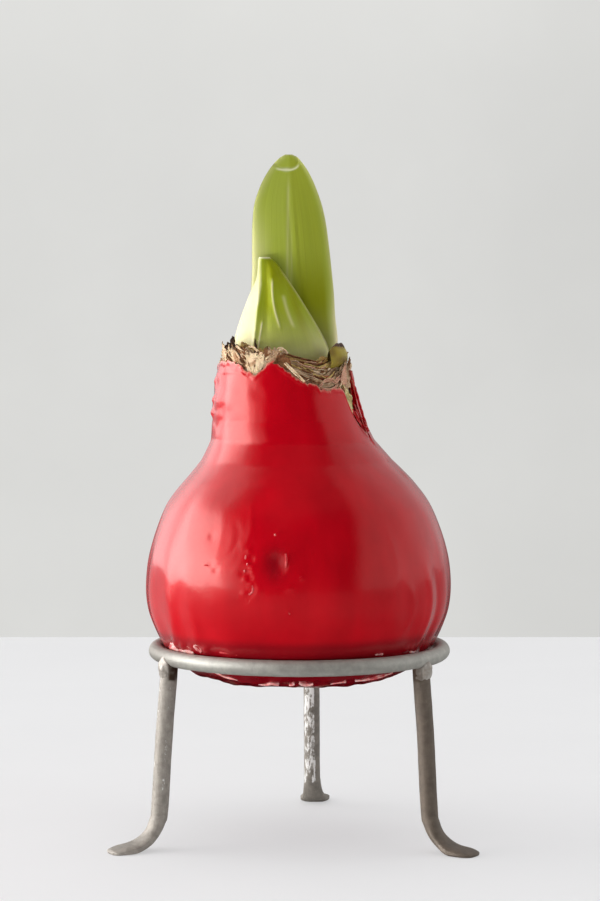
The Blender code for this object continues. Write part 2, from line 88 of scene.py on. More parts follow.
# Torn edge of the wax: degrees round the neck and height in millimetres
WAX_EDGE = [
    (2, 152.6), (12, 151), (22, 152.6), (48, 151), (75, 154.6), (100, 152.4), (130, 156.2), (155, 154),
    (180, 156.4), (204, 157.8), (222, 157.6), (229, 156.6), (235, 155), (241, 154.4), (245, 153.3),
    (248, 154.6), (252, 155.4), (256, 157.4), (261, 158.2), (265, 157), (271, 155.2), (276, 153.8),
    (282, 152.2), (288, 151), (292, 150.9), (297, 150.2), (301, 148.9), (307, 148.4), (313, 149.1),
    (319, 148.9), (323.5, 149), (326.4, 148), (328.2, 145.5), (330, 142.5), (332.2, 139.5), (335.4, 136.6),
    (339.4, 134.6), (342.5, 134), (344.5, 136.4), (346, 141), (347.2, 147), (349, 151.4), (352, 153.6),
    (357, 154.4),
]
# Small marks in the wax: degrees round, height, depth and size in millimetres, with bumps below nought
WAX_MARKS = [
    (251.2, 99.2, -0.45, 0.7), (252.6, 96.2, 0.45, 0.8), (252.8, 94, -0.45, 0.7), (251.4, 92.6, 0.4, 0.8),
    (252.5, 90.6, 0.4, 0.8), (252.6, 88.9, -0.4, 0.7), (250.6, 90.2, -0.35, 0.7), (250.2, 85.6, -0.45, 0.7),
    (249.4, 92, 0.3, 0.9), (262, 104.8, -0.4, 0.6), (271.2, 91.2, -0.35, 0.7), (266.8, 87.8, -0.35, 0.7),
    (266.6, 80.2, -0.35, 0.8), (236, 94.4, 0.35, 0.8), (238.2, 92.6, 0.35, 0.7), (234, 103, 0.25, 1.4),
    (189, 145, -0.8, 1.4), (190, 140.6, -0.9, 1.5), (188, 151.2, -0.6, 1.2), (352, 120.5, -0.4, 2),
    (212, 66.8, -0.9, 1.5), (217, 66.4, -0.9, 1.3), (222.5, 66.2, -0.8, 1.4), (230.5, 66.4, -1.1, 1.2),
    (304.5, 64.6, -0.6, 1.1), (320.5, 65.8, -0.9, 0.9), (323.6, 66, -0.9, 0.9), (242, 64.6, -0.4, 2.4),
]
# Folds in the side of the wax: turn, lower and upper height, height of the fold and its width in millimetres
WAX_FOLDS = [
    (248.6, 99, 114, 0.11, 1), (246.6, 93, 103, 0.1, 0.8), (243.6, 98, 108, -0.13, 1),
    (236, 92, 112, 0.07, 1.4), (253.4, 83.4, 91, 0.22, 0.8), (264.4, 91, 98, 0.2, 0.7),
    (308, 84, 106, 0.12, 1.2), (316, 72, 88, 0.2, 1.6), (327.5, 66, 92, 0.34, 1.4),
    (334, 66, 90, -0.3, 1.6), (214, 70, 84, 0.26, 1.8), (226, 68, 82, 0.22, 1.8),
]
# Lumps of wax above the ring and on the underside, and specks on the belly: path of turns and heights, and
# width in millimetres
# Their pale colour is painted light: painted highlights on the real lumps, painted glints on the underside
# and the specks, and a painted reflection in the streak beside the dent.
WAX_LUMPS_AND_GLINTS = [
    (((202, 64.8), (207, 65.8), (212, 65.2)), 2.2), (((212.5, 65.3), (217, 66.2), (222.5, 65.2)), 2.8),
    (((224.4, 67.6), (226.2, 66.8), (227.6, 65.6)), 2), (((237, 66), (241, 65.9), (245, 65.6)), 0.45),
    (((323.6, 64.9), (325.6, 64.8), (328.4, 64.8)), 1.2), (((303, 65.2), (305, 65.4), (307, 65.1)), 0.7),
    (((247, 55.2), (252, 55), (255.5, 55.4), (259.5, 54.9)), 0.9), (((265, 54.8), (268, 55.2)), 0.6),
    (((271, 55.6), (274, 55.1), (278, 55.3)), 0.9), (((287.5, 55.3), (292, 55.8), (296, 55.6)), 0.7),
    (((301, 55.9), (308, 56.3), (316, 56.8), (323, 57.6)), 1),
    (((331.5, 58.4), (334.5, 58), (337, 58.7)), 0.8), (((227, 58.3), (233, 56.9), (238, 56.3)), 0.7),
    (((265.5, 98.6), (265.7, 96.5), (265.5, 94.2)), 0.42), (((261.6, 104.9), (261.8, 104.1)), 0.32),
    (((270.6, 91), (271.2, 91.4)), 0.32), (((266.4, 87.8), (266.9, 87.4)), 0.32),
    (((266.4, 80.2), (267.2, 79.6)), 0.3), (((250.8, 97.8), (250.6, 96.6)), 0.3),
    (((251.4, 95.4), (251.2, 94.6)), 0.3), (((250.4, 93.2), (250.2, 92.5)), 0.28),
    (((233.6, 94.2), (234.2, 94)), 0.3), (((252.2, 85.4), (253.6, 86.6), (253.4, 88.6)), 0.3),
]
# How the rows of the wax are shared out: share of all rows and share of the outline's length
ROW_SHARES = [(0.0, 0.0), (0.05, 0.13), (0.21, 0.29), (0.54, 0.61), (0.78, 0.85), (1.0, 1.0)]

# Leaves: height, left edge and right edge from the front, in millimetres from the bulb's axis
TALL_LEAF = [
    (151.3, -14, 11.2), (158, -14.9, 13.1), (164.4, -15.6, 13.2), (172, -15.7, 12.4), (180, -15.5, 11.9),
    (188, -15.2, 11.1), (196, -15.2, 10.2), (203.7, -15, 9.1), (209.5, -14.3, 7.7), (215.5, -12.2, 5.5),
    (219.4, -10.1, 3.6), (222.4, -7.9, 1.6), (224.5, -5.7, -0.3), (225.3, -4.2, -1.9),
]
TALL_DEPTH = 3.1 * MM
TALL_EDGE = 0.7 * MM
LEAVES_BACK = 3.4 * MM
LIP_HEIGHT = 221.1 * MM
SHORT_LEAF = [  # height, left edge, right edge, middle in depth, bulge to the front
    (151.3, -19, 9.6, 0.4, 13), (155, -20.6, 10.6, 0.2, 13.6), (159, -21.5, 10.7, -0.1, 13.6),
    (163.4, -21.2, 9.4, -0.5, 12.8), (168, -20.1, 7, -1.2, 11.4), (172.3, -18.7, 4.5, -2, 10),
    (176, -17.3, 2.2, -2.7, 9), (178.6, -16.3, 0.6, -3, 8.2), (181.2, -15.1, -1.1, -3.4, 7.4),
    (184, -13.8, -3, -3.8, 6.4), (187.2, -13.1, -5.2, -4.1, 5.2), (189.6, -13, -7, -4.3, 4.2),
    (191, -12.9, -8.6, -4.4, 3.6), (191.6, -12.7, -9.1, -4.4, 3.2),
]
SHORT_THICKNESS = 1.6 * MM
# Creases of the short leaf: height and place across of the low end and of the high end, bow to the right,
# how far each stands out and how wide it is
SHORT_CREASES = [
    (162, -14.4, 191.5, -12, 0.5, 0.75, 0.8), (168.6, -5.9, 185, -8.4, -0.9, 0.5, 0.6),
    (168.4, -1.2, 179.8, -4.9, -0.4, 0.45, 1.3), (161, -13.2, 171, -11.6, 0, 0.3, 0.4),
]
STUB_TOP = 163.5 * MM
STUB_TURNS = (-40.0, -3.0)
STUB_RADIUS = 16.4 * MM
POCKET_FLOOR = 150.8 * MM

# How far the soft boxes' inner edges draw back from the camera towards the top of the room
BOX_SLANT = 0.13

# Share of the way round the short leaf's section that is its outer face
SHORT_OUTER = 0.76
# How far the skins and the bulb lie inside the outer face of the wax
SKIN_INSET = 1.85 * MM
BODY_INSET = 2.1 * MM
# Columns and rows of the grids that the pieces are modelled from, and points along the outlines
GRIDS = {
    "wax": (262, 180), "skin": (240, 16), "flap": (14, 18), "tall": (120, 130), "short": (230, 120),
    "stub": (48, 40), "leg": (36, 110),
}
WAX_POINTS = 190
BULB_POINTS = 110
BULB_COLUMNS = 150
RIBBON_STEPS = 44
JOIN_DISTANCE = 0.0005 * MM

# Camera and floor, from the bulb's axis
CAMERA_PLACE = Vector((0.655 * MM, -950 * MM, 185.9 * MM))
CAMERA_TILT = 3.49  # degrees downwards
CAMERA_LENS = 115.3
FLOOR_BACK = 524 * MM


# Shared helpers


def settings():
    return bpy.context.scene.amaryllis


def ease(value, low, high):
    """0 below low, 1 above high and smooth in between."""
    t = min(max((value - low) / (high - low), 0.0), 1.0)
    return t * t * (3 - 2 * t)


def bell(value, middle, spread):
    """1 at the middle, falling off smoothly on both sides of it."""
    return math.exp(-((value - middle) / spread) ** 2)


def turned(turn, middle):
    """Degrees from the middle to that turn, the short way round."""
    return (turn - middle + 180) % 360 - 180


def outwards(turn):
    """The level way outwards from the bulb at that turn."""
    angle = math.radians(turn % 360)
    return Vector((math.cos(angle), math.sin(angle), 0))


def turn_of(point, aside=0.0):
    """Degrees round an upright line, which stands a little beside the bulb's axis."""
    return math.degrees(math.atan2(point.y, point.x - aside))


def shade(colour, factor):
    """The colour, made darker or brighter."""
    return tuple(min(c * factor, 1.0) for c in colour)


def between(table, key):
    """The row of a table at that key, worked out between its neighbours."""
    for low, high in zip(table, table[1:]):
        if key <= high[0]:
            t = max((key - low[0]) / (high[0] - low[0]), 0.0)
            return [a + (b - a) * t for a, b in zip(low[1:], high[1:])]
    return list(table[-1][1:])


def rounded(points, count):
    """Points evenly spaced along a smooth curve through the ones given."""
    knots = [Vector(p) for p in points]
    ends = [knots[0] * 2 - knots[1], *knots, knots[-1] * 2 - knots[-2]]
    fine = []
    for a, b, c, d in zip(ends, ends[1:], ends[2:], ends[3:]):
        for step in range(20):
            t = step / 20
            bend = (2 * a - 5 * b + 4 * c - d) * t * t + (3 * b - a - 3 * c + d) * t * t * t
            fine.append((2 * b + (c - a) * t + bend) / 2)
    fine.append(knots[-1])
    lengths = [0.0]
    for p, q in zip(fine, fine[1:]):
        lengths.append(lengths[-1] + (q - p).length)
    found = []
    i = 0
    for row in range(count):
        wanted = lengths[-1] * row / (count - 1)
        while i < len(fine) - 2 and lengths[i + 1] < wanted:
            i += 1
        share = (wanted - lengths[i]) / max(lengths[i + 1] - lengths[i], 1e-12)
        found.append(fine[i].lerp(fine[i + 1], min(share, 1.0)))
    return found


def on_line(line, row):
    """The place at that row of a line of points, between two of them, and the number of the first."""
    i = min(int(row), len(line) - 2)
    return line[i].lerp(line[i + 1], row - i), i


def smooth_table(table, step):
    """A table filled in along a smooth curve, for surfaces that mustn't show its corners."""
    low = table[0][0]
    high = table[-1][0]
    count = max(int((high - low) / step), 2)
    fine = []
    for i in range(count + 1):
        key = low + (high - low) * i / count
        j = max(k for k in range(len(table) - 1) if table[k][0] <= key + 1e-9)
        a = table[max(j - 1, 0)]
        b = table[j]
        c = table[j + 1]
        d = table[min(j + 2, len(table) - 1)]
        t = (key - b[0]) / (c[0] - b[0])
        row = [key]
        for k in range(1, len(b)):
            span = c[0] - b[0]
            start = (c[k] - a[k]) / (c[0] - a[0]) * span
            end = (d[k] - b[k]) / (d[0] - b[0]) * span
            row.append(
                (2 * t ** 3 - 3 * t ** 2 + 1) * b[k] + (t ** 3 - 2 * t ** 2 + t) * start
                + (3 * t ** 2 - 2 * t ** 3) * c[k] + (t ** 3 - t ** 2) * end
            )
        fine.append(tuple(row))
    return fine


def rough(point, size, seed=0.0):
    """Smooth noise from -1 to 1 with bumps of about that size."""
    return noise.noise(point / size + Vector((seed * 17.3, seed * 5.1, -seed * 11.7)))


def deselect():
    if bpy.context.object and bpy.context.object.mode != "OBJECT":
        bpy.ops.object.mode_set(mode="OBJECT")
    bpy.ops.object.select_all(action="DESELECT")


def pick(obj):
    deselect()
    obj.select_set(True)
    bpy.context.view_layer.objects.active = obj


def sheet(name, columns, rows, place):
    """A sheet from a grid, each point placed by its share across and up, and closed where points meet."""
    deselect()
    bpy.ops.mesh.primitive_grid_add(x_subdivisions=columns, y_subdivisions=rows, size=1)
    obj = bpy.context.object
    obj.name = obj.data.name = name
    for vertex in obj.data.vertices:
        vertex.co = place(vertex.co.x + 0.5, vertex.co.y + 0.5)
    bpy.ops.object.mode_set(mode="EDIT")
    bpy.ops.mesh.select_all(action="SELECT")
    bpy.ops.mesh.remove_doubles(threshold=JOIN_DISTANCE)
    bpy.ops.mesh.normals_make_consistent(inside=False)
    bpy.ops.object.mode_set(mode="OBJECT")
    return obj


def thicken(obj, thickness, offset=-1.0):
    """Gives a sheet its wall."""
    wall = obj.modifiers.new("Wall", "SOLIDIFY")
    wall.thickness = thickness
    wall.offset = offset
    pick(obj)
    bpy.ops.object.modifier_apply(modifier=wall.name)


def paint(obj, name, value_at):
    """Stores a value from 0 to 1 on each point of a piece, for its material to read."""
    layer = obj.data.attributes.new(name, "FLOAT", "POINT")
    layer.data.foreach_set("value", [min(max(value_at(v.co), 0.0), 1.0) for v in obj.data.vertices])


def finish_piece(obj, material, slot, *nodes, smooth=50.0):
    """Smooths a piece, gives it its material and ties it to the model."""
    pick(obj)
    bpy.ops.object.shade_smooth_by_angle(angle=math.radians(smooth))
    obj.data.materials.clear()
    obj.data.materials.append(material)
    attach(obj, "root")
    if nodes:
        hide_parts(*nodes)


# Materials


def add_node(tree, kind, inputs=(), **values):
    """Adds a node, with its settings and with the values or links of its inputs."""
    made = tree.nodes.new(kind)
    for name, value in values.items():
        setattr(made, name, value)
    for key, value in dict(inputs).items():
        if isinstance(value, bpy.types.NodeSocket):
            tree.links.new(value, made.inputs[key])
        else:
            made.inputs[key].default_value = value
    return made


def add_ramp(tree, factor, stops, interpolation="LINEAR"):
    """A colour ramp from pairs of place and colour or grey value."""
    made = add_node(tree, "ShaderNodeValToRGB", {"Fac": factor})
    made.color_ramp.interpolation = interpolation
    elements = made.color_ramp.elements
    while len(elements) < len(stops):
        elements.new(0.5)
    for element, (place, colour) in zip(elements, stops):
        element.position = place
        element.color = (*colour, 1) if isinstance(colour, tuple) else (colour, colour, colour, 1)
    return made.outputs["Color"]


class Finish:
    """A material that is built node by node, with its Principled shader at hand."""

    def __init__(self, name):
        self.material = bpy.data.materials.new(name)
        self.material.use_nodes = True
        self.tree = self.material.node_tree
        self.shader = self.tree.nodes["Principled BSDF"]
        self.where = self.tree.nodes.new("ShaderNodeTexCoord")

    def set(self, **values):
        for name, value in values.items():
            self.shader.inputs[name.replace("_", " ")].default_value = value

    def link(self, source, name):
        self.tree.links.new(source, self.shader.inputs[name])

    def node(self, kind, inputs=(), **values):
        return add_node(self.tree, kind, inputs, **values)

    def noise(self, scale, detail=4.0, roughness=0.5, distortion=0.0, stretch=(1, 1, 1), uv=False):
        source = self.where.outputs["UV" if uv else "Object"]
        place = self.node("ShaderNodeMapping", {"Vector": source, "Scale": stretch}).outputs["Vector"]
        values = {"Scale": scale, "Detail": detail, "Roughness": roughness, "Distortion": distortion}
        return self.node("ShaderNodeTexNoise", {"Vector": place, **values}).outputs["Fac"]

    def steps(self, factor, *stops):
        return add_ramp(self.tree, factor, stops)

    def mix(self, factor, first, second, blend="MIX"):
        made = self.tree.nodes.new("ShaderNodeMix")
        made.data_type = "RGBA"
        made.blend_type = blend
        for index, value in ((0, factor), (6, first), (7, second)):
            if isinstance(value, bpy.types.NodeSocket):
                self.tree.links.new(value, made.inputs[index])
            elif index == 0:
                made.inputs[index].default_value = value
            else:
                made.inputs[index].default_value = (*value, 1)
        return made.outputs[2]

    def sums(self, operation, first, second=0.5):
        made = self.node("ShaderNodeMath", {0: first, 1: second}, operation=operation, use_clamp=True)
        return made.outputs[0]

    def painted(self, name):
        return self.node("ShaderNodeAttribute", attribute_name=name).outputs["Fac"]

    def bump(self, height, distance, strength=1.0, base=None):
        inputs = {"Height": height, "Distance": distance, "Strength": strength}
        if base:
            inputs["Normal"] = base
        return self.node("ShaderNodeBump", inputs).outputs["Normal"]


def wax_material():
    """Glossy red dipped wax, cloudier in places, pale and thin at its torn edge, with painted glints and
    highlights and painted shade.
    """
    wax = Finish("red_wax")
    colour = tuple(settings().wax.colour)
    clouds = wax.steps(wax.noise(38, 5, 0.55), (0.35, 0.0), (0.7, 1.0))
    streaks = wax.steps(wax.noise(90, 4, 0.5, stretch=(1, 1, 0.12)), (0.42, 0.0), (0.75, 0.5))
    base = wax.mix(streaks, wax.mix(clouds, shade(colour, 0.78), colour), shade(colour, 1.22))
    grain = wax.noise(700, 4, 0.6)
    # The edge value is pale where the wax is thin at its torn edge, and pale too for painted glints and
    # highlights.
    edge = wax.painted("edge")
    thin = wax.steps(wax.sums("MULTIPLY", edge, wax.sums("ADD", grain, 0.3)), (0.55, 0.0), (0.8, 0.85))
    base = wax.mix(thin, base, (0.62, 0.22, 0.16))
    # Dark red: darker beside the tear and along the neck's left, and painted shade just above the ring and in
    # the dent.
    base = wax.mix(wax.painted("stain_and_shade"), base, (0.075, 0.002, 0.006))
    wax.link(base, "Base Color")
    smear = wax.steps(wax.noise(55, 6, 0.6, stretch=(1, 1, 0.35)), (0.3, 0.17), (0.75, 0.28))
    wax.link(smear, "Roughness")
    ripple = wax.bump(wax.noise(120, 4, 0.5, stretch=(1, 1, 0.4)), 0.0006, 0.3)
    wax.link(wax.bump(wax.noise(900, 3, 0.6), 0.0001, 0.3, ripple), "Normal")
    wax.set(IOR=1.45, Specular_Tint=(1.0, 0.52, 0.44, 1))
    wax.set(Coat_Weight=0.42, Coat_IOR=1.34, Coat_Roughness=0.09)
    wax.set(Subsurface_Weight=0.08, Subsurface_Scale=0.002, Subsurface_Radius=(1.0, 0.1, 0.1))
    return wax.material


def pale_highlight_wax_material(name, dull, pale):
    """Wax in lumps and specks, pale as a painted highlight on them."""
    wax = Finish(name)
    clouds = wax.steps(wax.noise(420, 4, 0.6), (0.35, 0.0), (0.65, 1.0))
    wax.link(wax.mix(clouds, dull, pale), "Base Color")
    wax.link(wax.bump(wax.noise(900, 3, 0.6), 0.0002, 0.5), "Normal")
    wax.set(Roughness=0.22, IOR=1.45, Subsurface_Weight=0.15, Subsurface_Scale=0.001)
    return wax.material


def skin_material(name, tones, streak):
    """Dry papery skin in three tones, streaked along or across its growth."""
    skin = Finish(name)
    dark, middle, light = tones
    fibres = skin.noise(1.0, 6, 0.65, 0.4, stretch=streak, uv=True)
    blotches = skin.noise(260, 5, 0.6, 0.6)
    base = skin.mix(skin.steps(fibres, (0.36, 0.0), (0.62, 1.0)), middle, light)
    base = skin.mix(skin.steps(blotches, (0.52, 0.0), (0.70, 0.9)), base, dark)
    fine = tuple(s * 2.6 for s in streak)
    veins = skin.steps(skin.noise(1.0, 3, 0.5, stretch=fine, uv=True), (0.40, 1.0), (0.50, 0.0))
    base = skin.mix(skin.sums("MULTIPLY", veins, 0.55), base, dark)
    tip = skin.painted("tip")
    burnt = skin.steps(skin.sums("MULTIPLY", tip, skin.sums("ADD", blotches, 0.2)), (0.40, 0.0), (0.62, 1.0))
    base = skin.mix(burnt, base, (0.025, 0.014, 0.009))
    skin.link(base, "Base Color")
    skin.link(skin.steps(fibres, (0.3, 0.55), (0.7, 0.8)), "Roughness")
    coarse = skin.bump(fibres, 0.0004, 0.8)
    skin.link(skin.bump(skin.noise(1500, 4, 0.7), 0.00015, 0.6, coarse), "Normal")
    skin.set(Subsurface_Weight=0.1, Subsurface_Scale=0.001, IOR=1.3, Specular_Tint=(1.0, 0.7, 0.4, 1))
    return skin.material


def leaf_material(name, green, deep, pale):
    """Smooth young leaf with fine lengthwise veins, pale towards its base and margins, with painted light and
    painted highlights.
    """
    leaf = Finish(name)
    veins = leaf.noise(1.0, 4, 0.55, stretch=(230, 1.0, 1), uv=True)
    bands = leaf.noise(1.0, 3, 0.5, stretch=(34, 0.9, 1), uv=True)
    base = leaf.mix(leaf.steps(bands, (0.32, 0.0), (0.7, 1.0)), green, shade(green, 1.14))
    base = leaf.mix(leaf.painted("deep"), base, deep)
    base = leaf.mix(leaf.steps(veins, (0.36, 0.0), (0.66, 0.22)), base, shade(green, 0.6))
    # Pale also where the pale value carries painted light: lit sides, and painted highlights along creases.
    base = leaf.mix(leaf.painted("pale"), base, pale)
    # Pale along the top edge; on the tall front leaf this is a painted highlight.
    base = leaf.mix(leaf.painted("lip"), base, (0.80, 0.80, 0.55))
    leaf.link(base, "Base Color")
    leaf.link(leaf.steps(bands, (0.3, 0.34), (0.75, 0.46)), "Roughness")
    ribs = leaf.bump(veins, 0.0002, 0.4)
    leaf.link(leaf.bump(leaf.noise(2200, 3, 0.6), 0.00003, 0.4, ribs), "Normal")
    leaf.set(Subsurface_Weight=0.25, Subsurface_Scale=0.002, Subsurface_Radius=(0.8, 1.0, 0.15), IOR=1.33)
    leaf.set(Specular_Tint=(0.9, 1.0, 0.2, 1))
    return leaf.material


def steel_material(name, light, dark, scraped, roughness, metal):
    """Raw steel rod: dull grey with brown cast, fine lines along the rod and bright scraped marks."""
    steel = Finish(name)
    scale = steel.noise(420, 6, 0.65, 0.3)
    lines = steel.noise(1.0, 4, 0.55, stretch=(60, 9, 1), uv=True)
    base = steel.mix(steel.steps(scale, (0.35, 0.0), (0.68, 1.0)), dark, light)
    base = steel.mix(steel.steps(lines, (0.4, 0.0), (0.7, 0.4)), base, shade(dark, 0.85))
    bare = steel.noise(620, 7, 0.75, 0.5, stretch=(1, 1, 0.35))
    worn = steel.steps(steel.sums("MULTIPLY", bare, steel.painted("bare")), (0.48, 0.0), (0.53, 1.0))
    base = steel.mix(worn, base, scraped)
    # The burnt value darkens to dark brown: painted shade beside the welds, browned like burnt steel, and
    # painted shade on the ring.
    base = steel.mix(steel.painted("burnt"), base, (0.045, 0.021, 0.009))
    steel.link(base, "Base Color")
    rub = steel.steps(scale, (0.3, roughness - 0.06), (0.7, roughness + 0.12))
    steel.link(steel.mix(worn, rub, (0.25, 0.25, 0.25)), "Roughness")
    pitted = steel.bump(scale, 0.00022, 0.6)
    steel.link(steel.bump(worn, 0.00008, -0.6, pitted), "Normal")
    steel.set(Metallic=metal)
    return steel.material


def floor_material():
    """Pale matt surface with the faintest mottling. Its glow evens out the shadows."""
    floor = Finish("pale_surface")
    stage = settings().stage
    cloud = floor.steps(floor.noise(6, 5, 0.55), (0.3, 1.0), (0.75, 0.97))
    floor.link(floor.mix(1.0, (stage.floor_tone,) * 3, cloud, "MULTIPLY"), "Base Color")
    floor.link(floor.mix(1.0, (1.0, 1.0, 1.015), cloud, "MULTIPLY"), "Emission Color")
    floor.link(floor.bump(floor.noise(45, 6, 0.6), 0.0006, 0.25), "Normal")
    floor.set(Roughness=0.8, Emission_Strength=stage.floor_glow, IOR=1.2)
    return floor.material


# The bulb's shape


def lean(height):
    return NECK_LEAN * ease(height, NECK_START, 150 * MM)


def swelling(turn, height):
    """How far the bulb's side stands out or in from a plain turned shape."""
    body = ease(height, 56 * MM, 70 * MM) * (1 - 0.6 * ease(height, NECK_START, 140 * MM))
    out = sum(depth * MM * math.cos(math.radians(count * (turn - start))) for count, start, depth in LOBES)
    aside = math.radians(turned(turn, DENT["turn"])) * BULB_WIDEST
    away = math.hypot(aside, height - DENT["height"]) / DENT["size"]
    return out * body - DENT["depth"] * bell(away, 0, 1)


def wax_edge(turn):
    table = [(WAX_EDGE[-1][0] - 360, WAX_EDGE[-1][1]), *WAX_EDGE, (WAX_EDGE[0][0] + 360, WAX_EDGE[0][1])]
    ragged = outwards(turn)
    tear = 0.45 * rough(ragged, 0.09, 3) + 0.5 * rough(ragged, 0.032, 4) + 0.25 * rough(ragged, 0.012, 5)
    return (between(table, turn % 360)[0] + tear) * MM


def neck_radius(height):
    """Radius of the outside of the wax at that height."""
    table = [(z, r) for r, z in BULB_OUTLINE[8:]]
    return between(table, height / MM)[0] * MM


def wax_detail(turn, height, point, below_edge):
    """Ripples, flutes, runs and pits on top of the bulb's main shape, outwards."""
    out = 0.16 * rough(point, 0.022, 1) + 0.08 * rough(point, 0.008, 2)
    low = ease(height, 58 * MM, 65 * MM) * (1 - ease(height, 84 * MM, 104 * MM))
    for middle, spread in ((208.0, 26.0), (332.0, 28.0), (90.0, 60.0)):
        aside = turned(turn, middle) / spread
        flute = math.cos(math.radians(turn * 22 + 130 * rough(point, 0.02, 5)))
        out += 0.24 * low * bell(aside, 0, 1) * flute
    for mark_turn, mark_height, depth, size in WAX_MARKS:
        aside = math.radians(turned(turn, mark_turn)) * point.xy.length / MM
        away = math.hypot(aside, height / MM - mark_height) / size
        if away < 3:
            out -= depth * bell(away, 0, 1)
    for fold_turn, low_end, high_end, tall, wide in WAX_FOLDS:
        bow = 2.5 * math.sin(math.pi * (height / MM - low_end) / (high_end - low_end))
        aside = math.radians(turned(turn, fold_turn + bow)) * point.xy.length / MM / wide
        if abs(aside) < 3:
            starts = ease(height / MM, low_end - 3, low_end + 3)
            out += tall * starts * (1 - ease(height / MM, high_end - 5, high_end + 3)) * bell(aside, 0, 1)
    under = (1 - ease(height, 56 * MM, 61 * MM)) * ease(point.xy.length, 14 * MM, 26 * MM)
    out += under * (0.6 * rough(point, 0.0085, 11) + 0.45 * rough(point, 0.0036, 12) - 0.2)
    out += 0.30 * bell(below_edge / MM, 0.8, 0.7) * (0.7 + 0.9 * rough(point, 0.004, 6))
    left = turned(turn, 221) / 26
    out += 0.20 * bell(left, 0, 1) * bell(height / MM, 154.4 + 0.3 * left, 0.7)
    side = (1 + math.cos(math.radians(turn - 192))) / 2
    out += 0.42 * ease(height, 130 * MM, 141 * MM) * side ** 18 * rough(point, 0.0042, 7)
    out += 0.16 * ease(height, 142 * MM, 150 * MM) * rough(point, 0.0045, 18)
    out -= 0.12 * ease(height, 60 * MM, 70 * MM)
    out += 0.34 * bell(height / MM, 136.5, 6) * ((1 + math.cos(math.radians(turn - 210))) / 2) ** 2
    return out * MM


def wax_place(u, v, profile):
    """A point on the outside of the wax, by its share round and its share along the outline."""
    turn = 450 + 360 * (u - 0.055 * math.sin(2 * math.pi * (u - 0.5)) - 1.0)
    here, i = on_line(profile, between(ROW_SHARES, v)[0] * (len(profile) - 1))
    radius, height = here
    edge = wax_edge(turn)
    if height > NECK_START:
        height = NECK_START + (height - NECK_START) / (profile[-1].y - NECK_START) * (edge - NECK_START)
        radius = neck_radius(height)
    radius += swelling(turn, height) * min(radius / (20 * MM), 1.0)
    out = outwards(turn)
    point = Vector((lean(height), 0, height)) + out * radius
    along = profile[min(i + 1, len(profile) - 1)] - profile[max(i - 1, 0)]
    side = Vector((along.y, -along.x)).normalized()
    push = wax_detail(turn, height, point, max(edge - height, 0)) * min(radius / (12 * MM), 1.0)
    return AXIS + point + (out * side.x + Vector((0, 0, side.y))) * push


def edge_and_painted_glints(co, reach=2.6 * MM):
    """1 at the wax's torn edge, falling to 0 a little below it, and on painted glints and highlights."""
    point = co - AXIS
    turn = turn_of(point, lean(point.z))
    # Painted glints: pale specks along the underside.
    glints = ease(rough(point, 0.0042, 15), 0.22, 0.42) * (1 - ease(point.z, 55.5 * MM, 57.5 * MM))
    # Painted highlights on the lumps just above the ring at the left.
    level = 1 - ease(abs(point.z - 66.2 * MM), 0.6 * MM, 1.6 * MM)
    lumps = ease(rough(point, 0.0036, 16), 0.15, 0.4) * level * 0.8 * bell(turned(turn, 216), 0, 14)
    # Painted highlight along the crest at the left of the neck.
    left = turned(turn, 221) / 24
    crest = 0.62 * bell(left, 0, 1) * bell(point.z / MM, 154.6 + 0.3 * left, 0.35)
    return max(1 - max(wax_edge(turn) - point.z, 0) / reach, glints, lumps, crest)


def darkening_and_painted_shade(co):
    """1 beside the deep tear at the right and along the rough left side of the neck, with painted shade in
    the band just above the ring and in the dent.
    """
    point = co - AXIS
    turn = turn_of(point, lean(point.z)) % 360
    height = point.z / MM
    tear = bell(turn, 341, 6) * ease(height, 131, 136)
    runs = bell(turn, 188, 5) * ease(height, 138, 142) * ease(rough(point, 0.004, 9), 0.1, 0.4)
    # Painted shade in the band of wax just above the ring.
    seat = (1 - ease(height, 68.0, 71.2)) * 0.5 + (1 - ease(height, 60, 66)) * 0.2
    # Painted shade in the dent.
    aside = math.radians(turn - DENT["turn"]) * BULB_WIDEST / (3.5 * MM)
    dent = 0.55 * bell(aside, 0, 1) * bell(point.z, DENT["height"], 5.6 * MM)
    return max(tear * 0.5, runs * 0.8, seat, dent)


# The bulb's pieces


class AMARYLLIS_OT_wax(bpy.types.Operator):
    """Models the wax coat with its torn top edge"""

    bl_idname = "amaryllis.wax"
    bl_label = "Wax coat"

    def execute(self, context):
        profile = rounded([(r * MM, h * MM) for r, h in BULB_OUTLINE], WAX_POINTS)
        coat = sheet("wax_dip", *GRIDS["wax"], lambda u, v: wax_place(u, v, profile))
        thicken(coat, settings().wax.thickness)
        paint(coat, "edge", edge_and_painted_glints)
        paint(coat, "stain_and_shade", darkening_and_painted_shade)
        finish_piece(coat, wax_material(), "wax", "wax_coat")
        # Pale wax for these pieces: their pale colour is a painted highlight.
        lump_highlight = pale_highlight_wax_material("wax_lump_highlight", (0.70, 0.10, 0.11), (0.95, 0.62, 0.58))
        glint_speck = pale_highlight_wax_material("wax_glint_specks", (0.52, 0.01, 0.02), (0.68, 0.12, 0.12))
        for i, (path, width) in enumerate(WAX_LUMPS_AND_GLINTS):
            spots = [(turn, height, 0.12) for turn, height in path]
            thick = (0.25 + 0.3 * width) * MM
            name = f"wax_lump_glint_{i + 1}"
            drip = ribbon(name, spots, width * MM, 0.0, 501 + i, thick, 0.75, 0.0, on_side, 0.3)
            finish_piece(drip, glint_speck if width < 0.5 else lump_highlight, "wax", "wax_coat")
        return {"FINISHED"}


def on_neck(turn, height, out_by=0.0):
    """A place on the neck, a little inside the wax's outer face, and the way outwards there."""
    out = outwards(turn)
    return Vector((lean(height), 0, height)) + out * (neck_radius(height) - 1.5 * MM + out_by), out


